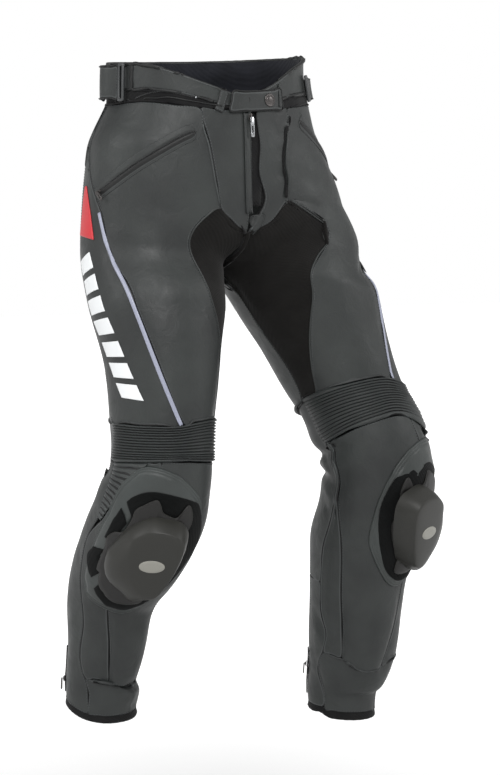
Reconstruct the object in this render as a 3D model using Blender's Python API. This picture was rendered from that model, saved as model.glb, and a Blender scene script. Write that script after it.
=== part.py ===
"""Leather motorcycle trousers in the hollow form they have when worn, one solid for each sewn piece.

Frame: +Z up, the garment faces -Y, the wearer's right is -X, the origin is the middle of the waist.
Tables are in millimetres and degrees; meshes are in metres.
A place on a half of the garment is a drop below the waist and a turn about the leg: 0 is the centre
front and the inseam, 90 the front of the leg, 180 its outer side, 360 the centre back and the inseam.
"""

import math

import bmesh
import bpy
import numpy as np
from mathutils import Matrix, Vector

MM = 0.001
COLLECTION = "leather_motorcycle_trousers"
TOOL_COLLECTION = "cutting_tools"
SIDES = ("right", "left")
SIGN = {"right": -1.0, "left": 1.0}

LEATHER = 2.0
STRETCH = 1.5
LINING = 1.2
SEAM_GAP = 0.36
ROUND_SEAM_GAP = 0.6
PLEAT_SEAM_GAP = 1.0
LAYER_GAP = 0.5

CROTCH_DROP = 280.0
SPLIT_START = 205.0

TORSO_COLUMNS = ("drop", "half_width_right", "half_width_left", "front_depth", "back_depth",
                 "corner_right", "corner_left")
TORSO = (
    (-60, 152, 163, 116, 116, 0, 0),
    (0, 153, 164, 118, 116, 0, 0),
    (45, 157, 175, 121, 121, 0, 0),
    (75, 178, 182, 123, 128, 0, 2),
    (110, 187, 196, 125, 135, 0, 8),
    (150, 192, 213, 125, 140, 0, 14),
    (200, 197, 225, 122, 140, 0, 26),
    (240, 202, 239, 118, 132, 0, 42),
    (280, 206, 250, 114, 122, 0, 40),
)

LEG_COLUMNS = ("drop", "out", "forward", "half_width", "front_depth", "back_depth", "yaw")
LEGS = {
    "right": (
        (180, 104, 16, 104, 112, 118, 0),
        (280, 105, 20, 105, 110, 114, 0),
        (344, 113, 46, 101, 98, 102, 0),
        (405, 121, 68, 87, 90, 90, 0),
        (482, 130, 81, 78, 80, 82, 0),
        (543, 135, 88, 74, 78, 78, 0),
        (589, 137, 84, 77, 82, 79, 0),
        (635, 139, 62, 83, 88, 82, 0),
        (696, 142, 18, 80, 86, 80, 0),
        (757, 146, -28, 69, 75, 70, 0),
        (788, 147, -40, 64, 74, 64, 0),
        (849, 146, -50, 58, 64, 60, 0),
        (895, 147, -61, 54, 57, 57, 0),
        (941, 147, -62, 54, 56, 58, 0),
        (980, 147, -62, 51, 53, 55, 0),
    ),
    "left": (
        (180, 120, 14, 120, 126, 112, 0),
        (280, 124, 24, 124, 134, 104, 0),
        (344, 154, 68, 108, 103, 98, 10),
        (405, 173, 89, 94, 90, 93, 18),
        (451, 186, 106, 84, 85, 85, 26),
        (497, 199, 125, 80, 78, 80, 32),
        (543, 212, 142, 82, 82, 82, 36),
        (589, 217, 148, 82, 84, 82, 38),
        (635, 218, 137, 82, 85, 82, 38),
        (696, 217, 114, 79, 83, 79, 38),
        (757, 216, 103, 74, 77, 73, 36),
        (818, 215, 95, 68, 75, 68, 34),
        (880, 214, 88, 64, 71, 64, 30),
        (926, 212, 71, 54, 60, 54, 28),
        (980, 212, 70, 50, 52, 52, 28),
    ),
}

# Largest folds: drop, turn, reach down the leg, reach round it in degrees, and height.
FOLDS = {
    "right": (
        (262, 40, 16, 24, -3),
        (300, 330, 22, 60, -5),
        (345, 335, 20, 50, 3),
        (588, 300, 20, 70, -7),
        (618, 300, 18, 60, 6),
        (652, 300, 20, 70, -6),
        (906, 70, 11, 60, -5),
        (926, 70, 12, 60, 5),
        (946, 60, 10, 60, -3),
    ),
    "left": (
        (258, 45, 16, 24, -3),
        (300, 330, 22, 60, -5),
        (345, 335, 20, 50, 3),
        (508, -55, 18, 32, 5),
        (540, -55, 15, 36, -7),
        (568, -52, 16, 36, 5),
        (592, 260, 20, 70, -7),
        (650, 260, 20, 70, -6),
        (888, 45, 12, 60, -4),
        (906, 45, 12, 60, 4),
        (926, 45, 12, 60, -3),
    ),
}

# Seams that run round the body: drop of the seam at each turn.
ROWS = {
    "right": {
        "waist_top": ((0, 18), (18, 19), (30, 14), (60, 1), (90, -12), (120, -21), (150, -23), (190, -21),
                      (240, -28), (360, -36)),
        "waist_bottom": ((0, 40), (30, 38), (42, 34), (64, 27), (87, 20), (111, 16), (148, 14), (180, 13),
                         (360, 12)),
        "panel_top": ((0, 43), (60, 41), (90, 36), (120, 32), (180, 34), (360, 36)),
        "fly_end": ((0, 225), (10, 218), (20, 204), (30, 188), (60, 184), (180, 190), (330, 225), (360, 225)),
        "pleat_top": ((16, 497), (39, 500), (78, 508), (104, 514), (140, 514), (188, 506), (215, 500),
                      (300, 495), (376, 497)),
        "pleat_end": ((16, 557), (34, 558), (74, 556), (104, 555), (135, 557), (192, 561), (235, 559),
                      (376, 557)),
        "tail_tip": ((16, 648), (376, 648)),
        "cup_end": ((16, 770), (376, 770)),
        "guard_end": ((16, 905), (60, 912), (110, 896), (160, 893), (230, 900), (376, 905)),
        "hem_top": ((16, 948), (58, 953), (88, 955), (123, 955), (150, 951), (200, 937), (235, 932),
                    (300, 937), (376, 948)),
        "hem_end": ((16, 959), (58, 964), (88, 966), (123, 966), (150, 962), (200, 948), (235, 943),
                    (300, 948), (376, 959)),
    },
    "left": {
        "waist_top": ((0, 18), (18, 13), (44, -3), (69, -20), (95, -31), (118, -38), (150, -41), (200, -42),
                      (360, -36)),
        "waist_bottom": ((0, 40), (30, 34), (48, 26), (60, 22), (90, 17), (120, 15), (180, 12), (360, 12)),
        "panel_top": ((0, 43), (60, 38), (90, 32), (120, 32), (180, 34), (360, 36)),
        "fly_end": ((0, 226), (10, 219), (20, 208), (28, 193), (33, 178), (60, 174), (180, 190), (330, 226),
                    (360, 226)),
        "pleat_top": ((-28, 455), (18, 463), (45, 470), (72, 478), (93, 488), (172, 488), (332, 455)),
        "pleat_end": ((-35, 524), (8, 522), (39, 525), (62, 529), (81, 538), (104, 546), (186, 546),
                      (325, 524)),
        "tail_tip": ((-33, 632), (327, 632)),
        "cup_end": ((-33, 762), (327, 762)),
        "guard_end": ((-33, 872), (10, 872), (32, 880), (58, 880), (78, 874), (180, 884), (327, 872)),
        "hem_top": ((-33, 960), (9, 968), (48, 971), (105, 971), (180, 968), (250, 960), (290, 956),
                    (327, 960)),
        "hem_end": ((-33, 971), (9, 979), (48, 982), (105, 982), (180, 979), (250, 971), (290, 967),
                    (327, 971)),
    },
}

# Seams that run along the leg: turn of the seam at each drop.
COLUMNS = {
    "right": {
        "inseam": ((-40, 0), (264, 0), (280, 0), (344, 4), (450, 10), (540, 16), (980, 16)),
        "fly_edge": ((40, 6), (64, 6), (90, 1), (110, 0), (230, 0)),
        "princess": ((30, 60), (46, 57), (84, 45), (128, 38), (162, 33), (188, 30), (225, 24)),
        "stretch_edge": ((170, 20), (188, 30), (200, 44), (212, 52), (226, 56), (252, 60), (272, 69),
                         (300, 78), (324, 74), (360, 63), (384, 53), (440, 36), (512, 30)),
        "side_seam": ((30, 216), (82, 214), (120, 206), (158, 188), (184, 170), (205, 159), (226, 152),
                      (276, 147), (336, 142), (404, 136), (448, 123), (494, 106), (512, 100)),
        "back_seam": ((30, 232), (180, 228), (300, 230), (420, 222), (500, 195), (556, 199), (600, 218),
                      (660, 234), (980, 235)),
        "guard_inner": ((540, 22), (600, 23), (640, 27), (680, 37), (782, 49), (870, 58), (912, 62),
                        (980, 64)),
        "guard_outer": ((540, 124), (828, 123), (900, 112), (980, 110)),
        "long_seam": ((540, 138), (557, 140), (568, 150), (584, 162), (604, 169), (626, 173), (648, 177),
                      (682, 187), (725, 178), (755, 168), (795, 161), (870, 163), (892, 153), (910, 147),
                      (980, 150)),
        "tail_outer": ((540, 187), (564, 188), (586, 190), (606, 189), (624, 186), (648, 182), (670, 182)),
    },
    "left": {
        "inseam": ((-40, 0), (264, 0), (300, 0), (355, -10), (398, -12), (428, -16), (452, -27),
                   (530, -35), (632, -32), (700, -33), (815, -27), (855, -15), (900, -26), (922, -12),
                   (980, -6)),
        "fly_edge": ((40, 9.5), (76, 9.5), (110, 10.5), (138, 8), (163, 12.5), (190, 12), (206, 10), (216, 1),
                     (226, 0)),
        "princess": ((30, 53), (42, 52), (82, 44), (118, 36), (154, 36), (178, 33), (194, 28), (225, 22)),
        "stretch_edge": ((170, 28), (178, 33), (182, 44), (192, 58), (210, 62), (232, 62), (256, 66),
                         (278, 74), (310, 64), (344, 46), (372, 33), (414, 15), (446, -2), (480, -10)),
        "side_seam": ((30, 213), (102, 202), (155, 185), (188, 168), (230, 152), (280, 139), (326, 125),
                      (372, 118), (410, 110), (444, 92), (490, 78)),
        "back_seam": ((30, 232), (180, 220), (270, 200), (330, 190), (412, 186), (980, 186)),
        "guard_inner": ((520, -29), (600, -28), (632, -26), (655, -20), (682, -12), (782, 0), (868, 9),
                        (905, 12), (980, 16)),
        "guard_outer": ((520, 75), (828, 76), (880, 66), (980, 62)),
        "long_seam": ((520, 96), (546, 104), (562, 121), (592, 134), (632, 138), (674, 140), (717, 129),
                      (747, 119), (787, 112), (862, 114), (884, 104), (902, 98), (980, 101)),
        "tail_outer": ((530, 180), (582, 179), (607, 165), (632, 141), (662, 141)),
    },
}

# Steps of the wall between one round seam and the next, and between one long seam and the next.
ROW_STEPS = {"waist_top": 2, "waist_bottom": 1, "panel_top": 6, "fly_end": 8, "pleat_top": 4,
             "pleat_end": 6, "tail_tip": 4, "cup_end": 4, "guard_end": 3, "hem_top": 1}
# Power that gathers the steps of a span towards its upper seam.
ROW_EASE = {"fly_end": 1.5}
THIGH_STEPS = (4, 7, 5)
PLEATS_IN_BAND = 14
PLEATS_IN_TAIL = 12
PLEAT_HEIGHT = 1.3
SOLVER_PASSES = 90
SOLVER_PACE = 0.25

CUP_TURN = {"right": 125.0, "left": 76.0}
CUP_CENTRE_DROP = {"right": 660.0, "left": 652.0}
# Outline of the knee cup about its centre: drop and turn from the centre.
CUP_OUTLINE = (
    (-101, 17), (-99, 1), (-92, -15), (-80, -33), (-60, -48), (-35, -57), (0, -61), (40, -58),
    (75, -48), (97, -32), (107, -12), (109, 10), (103, 30), (80, 43), (40, 51), (0, 51), (-42, 45),
    (-80, 33),
)
KNEE_RINGS = (0.36, 0.71, 0.86, 1.0)
KNEE_SEGMENTS = 22
CUP_LIFT = 2.5
CUP_THICKNESS = 2.2
LOOP_RINGS = 3
LOOP_LIFT = 5.2
LOOP_THICKNESS = 1.2
BASE_RINGS = 2
BASE_LIFT = 7.4
BASE_THICKNESS = 2.4
BASE_WAVE = 0.05
PUCK_OUTLINE = ((-48, 20), (-52, 0), (-49, -18), (-34, -29), (0, -34), (34, -31), (51, -22), (58, -4),
                (52, 18), (36, 35), (14, 40), (-12, 34), (-33, 28))
PUCK_DROP = {"right": -20.0, "left": -30.0}
PUCK_TURN = 4.0
# Section of the sliding block: share of its outline and height above the panel.
PUCK_PROFILE = ((0.0, 37.5), (0.34, 37.5), (0.58, 35.5), (0.80, 29.0), (0.93, 16.0))
PUCK_RIM = 4.0

MATERIALS = {
    "leather": ("3A3D3F", 0.52, 0.0),
    "stretch_fabric": ("2A2827", 0.85, 0.0),
    "lining_fabric": ("25262A", 0.80, 0.0),
    "elastic_webbing": ("1E1E1F", 0.80, 0.0),
    "loop_fabric": ("131416", 0.95, 0.0),
    "slider_plastic": ("46453F", 0.42, 0.0),
    "buckle_plastic": ("3B3D3E", 0.40, 0.0),
    "zip_tape": ("1B1B1C", 0.85, 0.0),
    "gunmetal": ("5A5654", 0.32, 0.9),
    "bright_metal": ("9C9EA0", 0.25, 1.0),
    "reflective_tape": ("9A9DAB", 0.45, 0.0),
}


def remove_everything():
    for item in list(bpy.data.objects):
        bpy.data.objects.remove(item, do_unlink=True)


def linear_colour(code):
    """RGBA for a shader from an sRGB hex code."""
    values = [int(code[k:k + 2], 16) / 255 for k in (0, 2, 4)]
    return [v / 12.92 if v <= 0.04045 else ((v + 0.055) / 1.055) ** 2.4 for v in values] + [1.0]


def make_materials():
    materials = {}
    for name, (code, roughness, metallic) in MATERIALS.items():
        material = bpy.data.materials.new(name)
        material.use_nodes = True
        shader = material.node_tree.nodes["Principled BSDF"]
        shader.inputs["Base Color"].default_value = linear_colour(code)
        shader.inputs["Roughness"].default_value = roughness
        shader.inputs["Metallic"].default_value = metallic
        materials[name] = material
    return materials


def smooth(table, at, value=1):
    """Value of a table's column at each given key, on a smooth curve through the rows."""
    keys = np.array([row[0] for row in table], float)
    values = np.array([row[value] for row in table], float)
    at = np.clip(np.asarray(at, float), keys[0], keys[-1])
    gap = np.diff(keys)
    slope = np.diff(values) / gap
    middle = (slope[:-1] * gap[1:] + slope[1:] * gap[:-1]) / (gap[:-1] + gap[1:])
    tangent = np.concatenate([[slope[0]], middle, [slope[-1]]])
    i = np.clip(np.searchsorted(keys, at, side="right") - 1, 0, len(gap) - 1)
    u = (at - keys[i]) / gap[i]
    near = values[i] * (1 + 2 * u) * (1 - u) ** 2 + tangent[i] * gap[i] * u * (1 - u) ** 2
    far = values[i + 1] * u ** 2 * (3 - 2 * u) - tangent[i + 1] * gap[i] * u ** 2 * (1 - u)
    return near + far


def unit(vectors):
    return vectors / np.linalg.norm(vectors, axis=-1, keepdims=True)


def torso_size(name, drop):
    return smooth(TORSO, drop, TORSO_COLUMNS.index(name))


def leg_size(side, name, drop):
    return smooth(LEGS[side], drop, LEG_COLUMNS.index(name))


def leg_centre(side, drop):
    return np.stack([SIGN[side] * leg_size(side, "out", drop), -leg_size(side, "forward", drop), -drop], -1)


def torso_ring(side, drop, turn):
    """Point of the seat and hips, and the way out from it: half an ellipse with a fuller front corner."""
    angle = np.radians(turn / 2)
    forward, sideways = np.cos(angle), np.sin(angle)
    width = torso_size("half_width_" + side, drop)
    depth = np.where(forward > 0, torso_size("front_depth", drop), torso_size("back_depth", drop))
    fullness = 1 + 0.015 * (1 - np.cos(4 * angle))
    corner = torso_size("corner_" + side, drop) * np.sin(2 * angle) ** 2 * (forward > 0)
    x = SIGN[side] * (width * fullness + corner) * sideways
    y = -(depth * fullness + corner) * forward
    away = np.stack([SIGN[side] * sideways / width, -forward / depth, 0 * x], -1)
    return np.stack([x, y, -drop], -1), unit(away)


def leg_ring(side, drop, turn):
    """Point of the leg, and the way out from it: an ellipse square to the leg's own line."""
    centre = leg_centre(side, drop)
    along = unit(leg_centre(side, drop + 2) - leg_centre(side, drop - 2))
    lean = np.clip((drop - CROTCH_DROP) / 140, 0, 1)
    lean = (lean * lean * (3 - 2 * lean))[..., None]
    along = unit(along * lean + np.array([0, 0, -1.0]) * (1 - lean))
    yaw = np.radians(leg_size(side, "yaw", drop))
    front = np.stack([SIGN[side] * np.sin(yaw), -np.cos(yaw), 0 * yaw], -1)
    front = unit(front - (front * along).sum(-1, keepdims=True) * along)
    outer = SIGN[side] * np.cross(front, along)
    angle = np.radians(turn)
    sideways, forward = -np.cos(angle), np.sin(angle)
    width = leg_size(side, "half_width", drop)
    depth = np.where(forward > 0, leg_size(side, "front_depth", drop), leg_size(side, "back_depth", drop))
    point = centre + (sideways * width)[..., None] * outer + (forward * depth)[..., None] * front
    away = (sideways / width)[..., None] * outer + (forward / depth)[..., None] * front
    return point, unit(away)


def fold_height(side, drop, turn):
    height = 0 * drop
    for at_drop, at_turn, reach_down, reach_round, size in FOLDS[side]:
        round_gap = (turn - at_turn + 180) % 360 - 180
        height = height + size * np.exp(-((drop - at_drop) / reach_down) ** 2 - (round_gap / reach_round) ** 2)
    return height * np.clip((drop - CROTCH_DROP + 60) / 60, 0, 1)


def surface(side, drop, turn):
    """Points of the garment's outer surface, in millimetres."""
    drop, turn = np.broadcast_arrays(np.asarray(drop, float), np.asarray(turn, float))
    torso, torso_away = torso_ring(side, drop, turn)
    leg, leg_away = leg_ring(side, drop, turn)
    reach = np.clip((drop - SPLIT_START) / (CROTCH_DROP - SPLIT_START), 0, 1)
    share = (1 - np.sqrt(1 - reach * reach))[..., None]
    away = unit(torso_away * (1 - share) + leg_away * share)
    point = torso * (1 - share) + leg * share
    return point + away * fold_height(side, drop, turn)[..., None]


def facing(side, drop, turn):
    """Unit normals of the outer surface, pointing out of the garment."""
    down = surface(side, drop + 1.0, turn) - surface(side, drop - 1.0, turn)
    around = surface(side, drop, turn + 0.5) - surface(side, drop, turn - 0.5)
    return SIGN[side] * unit(np.cross(down, around))


def keep_to_side(side, points):
    """Keep a half of the garment just off the middle plane."""
    points[..., 0] = SIGN[side] * np.maximum(SIGN[side] * points[..., 0], SEAM_GAP / 2)
    return points


def row_at(side, name, turn):
    return smooth(ROWS[side][name], turn)


def column_at(side, name, drop):
    base, _, shift = name.partition("+")
    return smooth(COLUMNS[side][base], drop) + float(shift or 0)


def spread(names, steps):
    """Shares of neighbouring named lines for a run of grid lines between the first and the last."""
    shares = []
    for k, count in enumerate(steps):
        for step in range(count):
            shares.append((k, (step / count) ** ROW_EASE.get(names[k], 1.0)))
    shares.append((len(steps) - 1, 1.0))
    return [(names[k], names[k + 1], share) for k, share in shares]


def grid_places(side, rows, row_steps, columns, column_steps):
    """Drop and turn of each crossing between the named seams, as two arrays."""
    row_lines = spread(rows, row_steps)
    column_lines = spread(columns, column_steps)
    drop = np.zeros((len(row_lines), len(column_lines)))
    turn = np.zeros(drop.shape)
    for i, (above, below, share) in enumerate(row_lines):
        drop[i] = row_at(side, above, 180.0) * (1 - share) + row_at(side, below, 180.0) * share
    for pass_number in range(SOLVER_PASSES):
        pace = 1.0 if pass_number == 0 else SOLVER_PACE
        for j, (first, second, share) in enumerate(column_lines):
            start, end = column_at(side, first, drop[:, j]), column_at(side, second, drop[:, j])
            turn[:, j] += pace * (start * (1 - share) + end * share - turn[:, j])
        for i, (above, below, share) in enumerate(row_lines):
            target = row_at(side, above, turn[i]) * (1 - share) + row_at(side, below, turn[i]) * share
            drop[i] += pace * (target - drop[i])
    return drop, turn


def pull_in_edges(points, shift, edges):
    """Move the outside lines of a grid towards its middle, which leaves the gap of a seam."""
    lines = {"top": (0, 1, 0), "bottom": (-1, -2, 0), "first": (0, 1, 1), "last": (-1, -2, 1)}
    moved = points.copy()
    for edge in edges:
        at, inner, axis = lines[edge]
        line = np.take(points, at, axis)
        step = unit(np.take(points, inner, axis) - line) * shift
        if axis == 0:
            moved[at] += step
        else:
            moved[:, at] += step
    return moved


def mesh_object(name, bm, material, group, flat=False):
    bmesh.ops.recalc_face_normals(bm, faces=bm.faces)
    mesh = bpy.data.meshes.new(name)
    bm.to_mesh(mesh)
    bm.free()
    mesh.materials.append(material)
    if flat:
        mesh.shade_flat()
    else:
        mesh.shade_smooth()
        mesh.set_sharp_from_angle(angle=math.radians(40))
    item = bpy.data.objects.new(name, mesh)
    group.objects.link(item)
    return item


def wall(name, outer, inner, material, group, closed=False):
    """A cloth wall lofted between an outer and an inner grid of points, closed along its edges.

    The outer grid may have a whole number of rows for each row of the inner one.
    """
    bm = bmesh.new()
    out = [[bm.verts.new(Vector(p) * MM) for p in row] for row in outer]
    ins = [[bm.verts.new(Vector(p) * MM) for p in row] for row in inner]
    count = len(out[0])
    finer = (len(out) - 1) // (len(ins) - 1)
    pairs = [(j, j + 1) for j in range(count - 1)] + ([(count - 1, 0)] if closed else [])
    for grid in (out, ins):
        for above, below in zip(grid, grid[1:]):
            for j, k in pairs:
                bm.faces.new((above[j], above[k], below[k], below[j]))
    for end in (0, -1):
        for j, k in pairs:
            bm.faces.new((out[end][j], out[end][k], ins[end][k], ins[end][j]))
    if not closed:
        for end in (0, -1):
            for i in range(len(ins) - 1):
                first, last = i * finer, (i + 1) * finer
                rim = [row[end] for row in out[first:last + 1]]
                bm.faces.new(rim + [ins[i + 1][end], ins[i][end]])
    return mesh_object(name, bm, material, group)


def panel(name, side, rows, columns, column_steps, material, group, thickness=LEATHER, swell=None,
          top_line=None):
    """One cut panel between its named seams; top_line replaces the places of its upper edge."""
    row_steps = [ROW_STEPS[row] for row in rows[:-1]]
    drop, turn = grid_places(side, rows, row_steps, columns, column_steps)
    if top_line:
        drop[0], turn[0] = top_line
    normal = facing(side, drop, turn)
    outer = surface(side, drop, turn)
    if swell:
        outer = outer + normal * swell(drop, turn)[..., None]
    shifted = pull_in_edges(outer, SEAM_GAP / 2, ("bottom", "first", "last"))
    shifted = pull_in_edges(shifted, ROUND_SEAM_GAP, ("top",))
    inner = keep_to_side(side, shifted - normal * thickness)
    return wall(name, keep_to_side(side, shifted), inner, material, group)


def pleated_panel(name, side, rows, columns, column_steps, pleats, edge_gap, material, group):
    """A panel whose outer face is folded into even pleats, over a plain inside."""
    drop, turn = grid_places(side, rows, [ROW_STEPS[rows[0]]], columns, column_steps)
    normal = facing(side, drop, turn)
    plain = pull_in_edges(surface(side, drop, turn), SEAM_GAP / 2, ("first", "last"))
    plain = pull_in_edges(plain, PLEAT_SEAM_GAP, ("top",))
    plain = pull_in_edges(plain, edge_gap, ("bottom",))
    lines = 2 * pleats + 1
    at = np.linspace(0, len(plain) - 1, lines)
    lower = np.minimum(at.astype(int), len(plain) - 2)
    share = (at - lower)[:, None, None]
    ridge = np.where(np.arange(lines) % 2 == 1, PLEAT_HEIGHT, 0.0)[:, None, None]
    outer = plain[lower] * (1 - share) + plain[lower + 1] * share
    out = unit(normal[lower] * (1 - share) + normal[lower + 1] * share)
    return wall(name, outer + out * ridge, plain - normal * LEATHER, material, group)


def patch_outline(outline, segments, scale, wave):
    """Drop and turn from a patch's centre at even steps round its outline."""
    points = np.array(list(outline) * 3, float)
    keys = np.arange(len(points)) / len(outline) - 1
    at = np.arange(segments) / segments
    drop = smooth(np.column_stack([keys, points[:, 0]]), at)
    turn = smooth(np.column_stack([keys, points[:, 1]]), at)
    ripple = scale * (1 + wave * np.sin(2 * math.pi * at * 7))
    return drop * ripple, turn * ripple


def patch_places(centre, outline, shares, wave=0.0):
    """Drop and turn of rings about a centre, each a share of the outline's size."""
    drop, turn = patch_outline(outline, KNEE_SEGMENTS, 1.0, wave)
    shares = np.array(shares)[:, None]
    return centre[0] + drop * shares, centre[1] + turn * shares


def disc(name, outer, inner, outer_middle, inner_middle, material, group):
    """A closed plate of rings about a middle point on each face."""
    bm = bmesh.new()
    for rings, middle in ((outer, outer_middle), (inner, inner_middle)):
        lines = [[bm.verts.new(Vector(p) * MM) for p in ring] for ring in rings]
        top = bm.verts.new(Vector(middle) * MM)
        count = len(lines[0])
        for j in range(count):
            k = (j + 1) % count
            bm.faces.new((top, lines[0][j], lines[0][k]))
            for near, far in zip(lines, lines[1:]):
                bm.faces.new((near[j], far[j], far[k], near[k]))
    edges = [edge for edge in bm.edges if edge.is_boundary]
    bmesh.ops.bridge_loops(bm, edges=edges)
    return mesh_object(name, bm, material, group)


def lifted(side, drop, turn, lift):
    drop, turn = np.asarray(drop, float), np.asarray(turn, float)
    return surface(side, drop, turn) + facing(side, drop, turn) * lift


def knee_layer(name, side, centre, rings, lift, thickness, material, group):
    """A layer of the knee: a plate that follows the panel under it at its own height."""
    drop, turn = patch_places(centre, CUP_OUTLINE, KNEE_RINGS[:rings])
    faces = []
    for height in (lift + thickness, lift):
        faces.append((lifted(side, drop, turn, height), lifted(side, *centre, height)))
    return disc(name, faces[0][0], faces[1][0], faces[0][1], faces[1][1], material, group)


def knee_slider(name, side, knee, material, group):
    """The sliding block and its wing-shaped base: a flat-topped dome on a plate that follows the knee."""
    centre = (knee[0] + PUCK_DROP[side], knee[1] + PUCK_TURN)
    middle = lifted(side, *centre, 0.0)
    out = facing(side, np.array(centre[0]), np.array(centre[1]))
    top = BASE_LIFT + BASE_THICKNESS
    outer = []
    for share, height in PUCK_PROFILE[1:]:
        drop, turn = patch_places(centre, PUCK_OUTLINE, (share,))
        ring = surface(side, drop, turn)[0]
        level = ((ring - middle) @ out)[:, None]
        outer.append(ring + out * (height - level))
    rim_drop, rim_turn = patch_places(centre, PUCK_OUTLINE, (1.0,))
    for height in (top + PUCK_RIM, top):
        outer.append(lifted(side, rim_drop[0], rim_turn[0], height))
    edge_drop, edge_turn = patch_places(knee, CUP_OUTLINE, KNEE_RINGS[BASE_RINGS - 1:BASE_RINGS], BASE_WAVE)
    outer.append(lifted(side, edge_drop[0], edge_turn[0], top))
    inner_drop, inner_turn = patch_places(knee, CUP_OUTLINE, KNEE_RINGS[:BASE_RINGS - 1])
    inner = [lifted(side, d, t, BASE_LIFT) for d, t in zip(inner_drop, inner_turn)]
    inner.append(lifted(side, edge_drop[0], edge_turn[0], BASE_LIFT))
    top_height = PUCK_PROFILE[0][1]
    return disc(name, outer, inner, middle + out * top_height, lifted(side, *knee, BASE_LIFT), material, group)


def ribbon(name, side, places, widths, lift, heights, material, group):
    """A narrow strip along a line of (drop, turn) places; heights are its thickness from edge to edge."""
    drop = np.array([p[0] for p in places], float)
    turn = np.array([p[1] for p in places], float)
    centre = surface(side, drop, turn)
    normal = facing(side, drop, turn)
    along = unit(np.gradient(centre, axis=0))
    across = unit(np.cross(normal, along))
    widths = np.broadcast_to(widths, drop.shape)
    outer, inner = [], []
    for share, height in zip(np.linspace(-0.5, 0.5, len(heights)), heights):
        line = centre + across * (widths * share)[:, None]
        outer.append(line + normal * (lift + height))
        inner.append(line + normal * lift)
    return wall(name, np.stack(outer, 1), np.stack(inner, 1), material, group)


def line_between(side_places, steps):
    """Even places along a line through a few (drop, turn) places."""
    keys = np.linspace(0, 1, len(side_places))
    at = np.linspace(0, 1, steps + 1)
    drop = smooth(np.column_stack([keys, [p[0] for p in side_places]]), at)
    turn = smooth(np.column_stack([keys, [p[1] for p in side_places]]), at)
    return list(zip(drop, turn))


def local_frame(side, drop, turn):
    """Point, way along the garment downwards, way round it and way out of it, as vectors in millimetres."""
    drop, turn = np.array(float(drop)), np.array(float(turn))
    point = surface(side, drop, turn)
    out = facing(side, drop, turn)
    down = unit(surface(side, drop + 2, turn) - surface(side, drop - 2, turn))
    across = np.cross(down, out)
    return Vector(point), Vector(down), Vector(across), Vector(out)


def placed(name, bm, place, axes, material, group):
    """An object whose own origin and axes lie at a place on the garment."""
    across, down, out = axes
    turn = Matrix((across, down, out)).transposed()
    item = mesh_object(name, bm, material, group)
    item.matrix_world = Matrix.Translation(place * MM) @ turn.to_4x4()
    return item


def rounded_box(size, radius, segments=1):
    """A box in millimetres with its long edges rounded."""
    bm = bmesh.new()
    bmesh.ops.create_cube(bm, size=1.0)
    bmesh.ops.scale(bm, vec=Vector(size) * MM, verts=bm.verts)
    edges = [e for e in bm.edges if abs((e.verts[0].co - e.verts[1].co).z) > 1e-6]
    bmesh.ops.bevel(bm, geom=edges, offset=radius * MM, segments=segments, profile=0.5,
                    affect="EDGES", material=-1)
    return bm


def cube(size, place=(0, 0, 0)):
    bm = bmesh.new()
    bmesh.ops.create_cube(bm, size=1.0)
    bmesh.ops.scale(bm, vec=Vector(size) * MM, verts=bm.verts)
    bmesh.ops.translate(bm, vec=Vector(place) * MM, verts=bm.verts)
    return bm


def combine(item, bm, operation):
    """Cut a shape out of an object, or join one to it; the shape lies in the object's own axes."""
    group = bpy.data.collections.get(TOOL_COLLECTION)
    mesh = bpy.data.meshes.new(item.name + "_tool")
    bm.to_mesh(mesh)
    bm.free()
    tool = bpy.data.objects.new(item.name + "_tool", mesh)
    group.objects.link(tool)
    tool.matrix_world = item.matrix_world
    tool.hide_render = True
    tool.display_type = "WIRE"
    modifier = item.modifiers.new(operation.lower(), "BOOLEAN")
    modifier.operation = operation
    modifier.object = tool


FLY_SLIDER_DROP = 54.0
FLY_TAPE_DEPTH = 3.4
SLIDER_LENGTH = 10.5
SLIDER_CORNER = 2.0
SLIDER_SUNK = 0.3
PULL_THICKNESS = 1.8
PULL_TOP = 0.6
PULL_GAP = 0.4


def make_fly(materials, group):
    leather = materials["leather"]
    for side in SIDES:
        panel("fly_panel_" + side, side, ("panel_top", "fly_end"), ("fly_edge", "princess"),
              THIGH_STEPS[:1], leather, group)
    frame = make_fly_tape(materials["zip_tape"], group)
    zip_pull("fly_pull", frame, 30.0, 6.5, materials["bright_metal"], group)


def make_fly_tape(material, group):
    """The zip's tape behind the opening of the fly, with the slider's body standing on it."""
    tape = []
    for lift in (-FLY_TAPE_DEPTH, -FLY_TAPE_DEPTH - LINING):
        rows = []
        for drop in np.linspace(46, 190, 8):
            row = []
            for side, turn in (("right", 12.0), ("right", 4.0), ("left", 4.0), ("left", 12.0), ("left", 20.0)):
                at = np.array(drop), np.array(turn)
                row.append(surface(side, *at) + facing(side, *at) * lift)
            rows.append(row)
        tape.append(rows)
    item = wall("fly_zip", tape[0], tape[1], material, group)
    frame = add_slider(item, "left", FLY_SLIDER_DROP, 0.6, -FLY_TAPE_DEPTH, 0.0, 7.6, 6.4)
    return frame


def add_slider(item, side, drop, turn, lift, heading, height, width):
    """Join a zip slider's body to its tape; heading turns it about the way out, in degrees."""
    place, down, across, out = local_frame(side, drop, turn)
    spin = Matrix.Rotation(math.radians(heading), 3, out)
    down, across = spin @ down, spin @ across
    bm = rounded_box((width, SLIDER_LENGTH, height), SLIDER_CORNER, 2)
    turned = Matrix((across, down, out)).transposed().to_4x4()
    centre = place + out * (lift + height / 2 - SLIDER_SUNK)
    bm.transform(Matrix.Translation(centre * MM) @ turned)
    combine(item, bm, "UNION")
    return place, down, across, out, lift + height - SLIDER_SUNK


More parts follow.
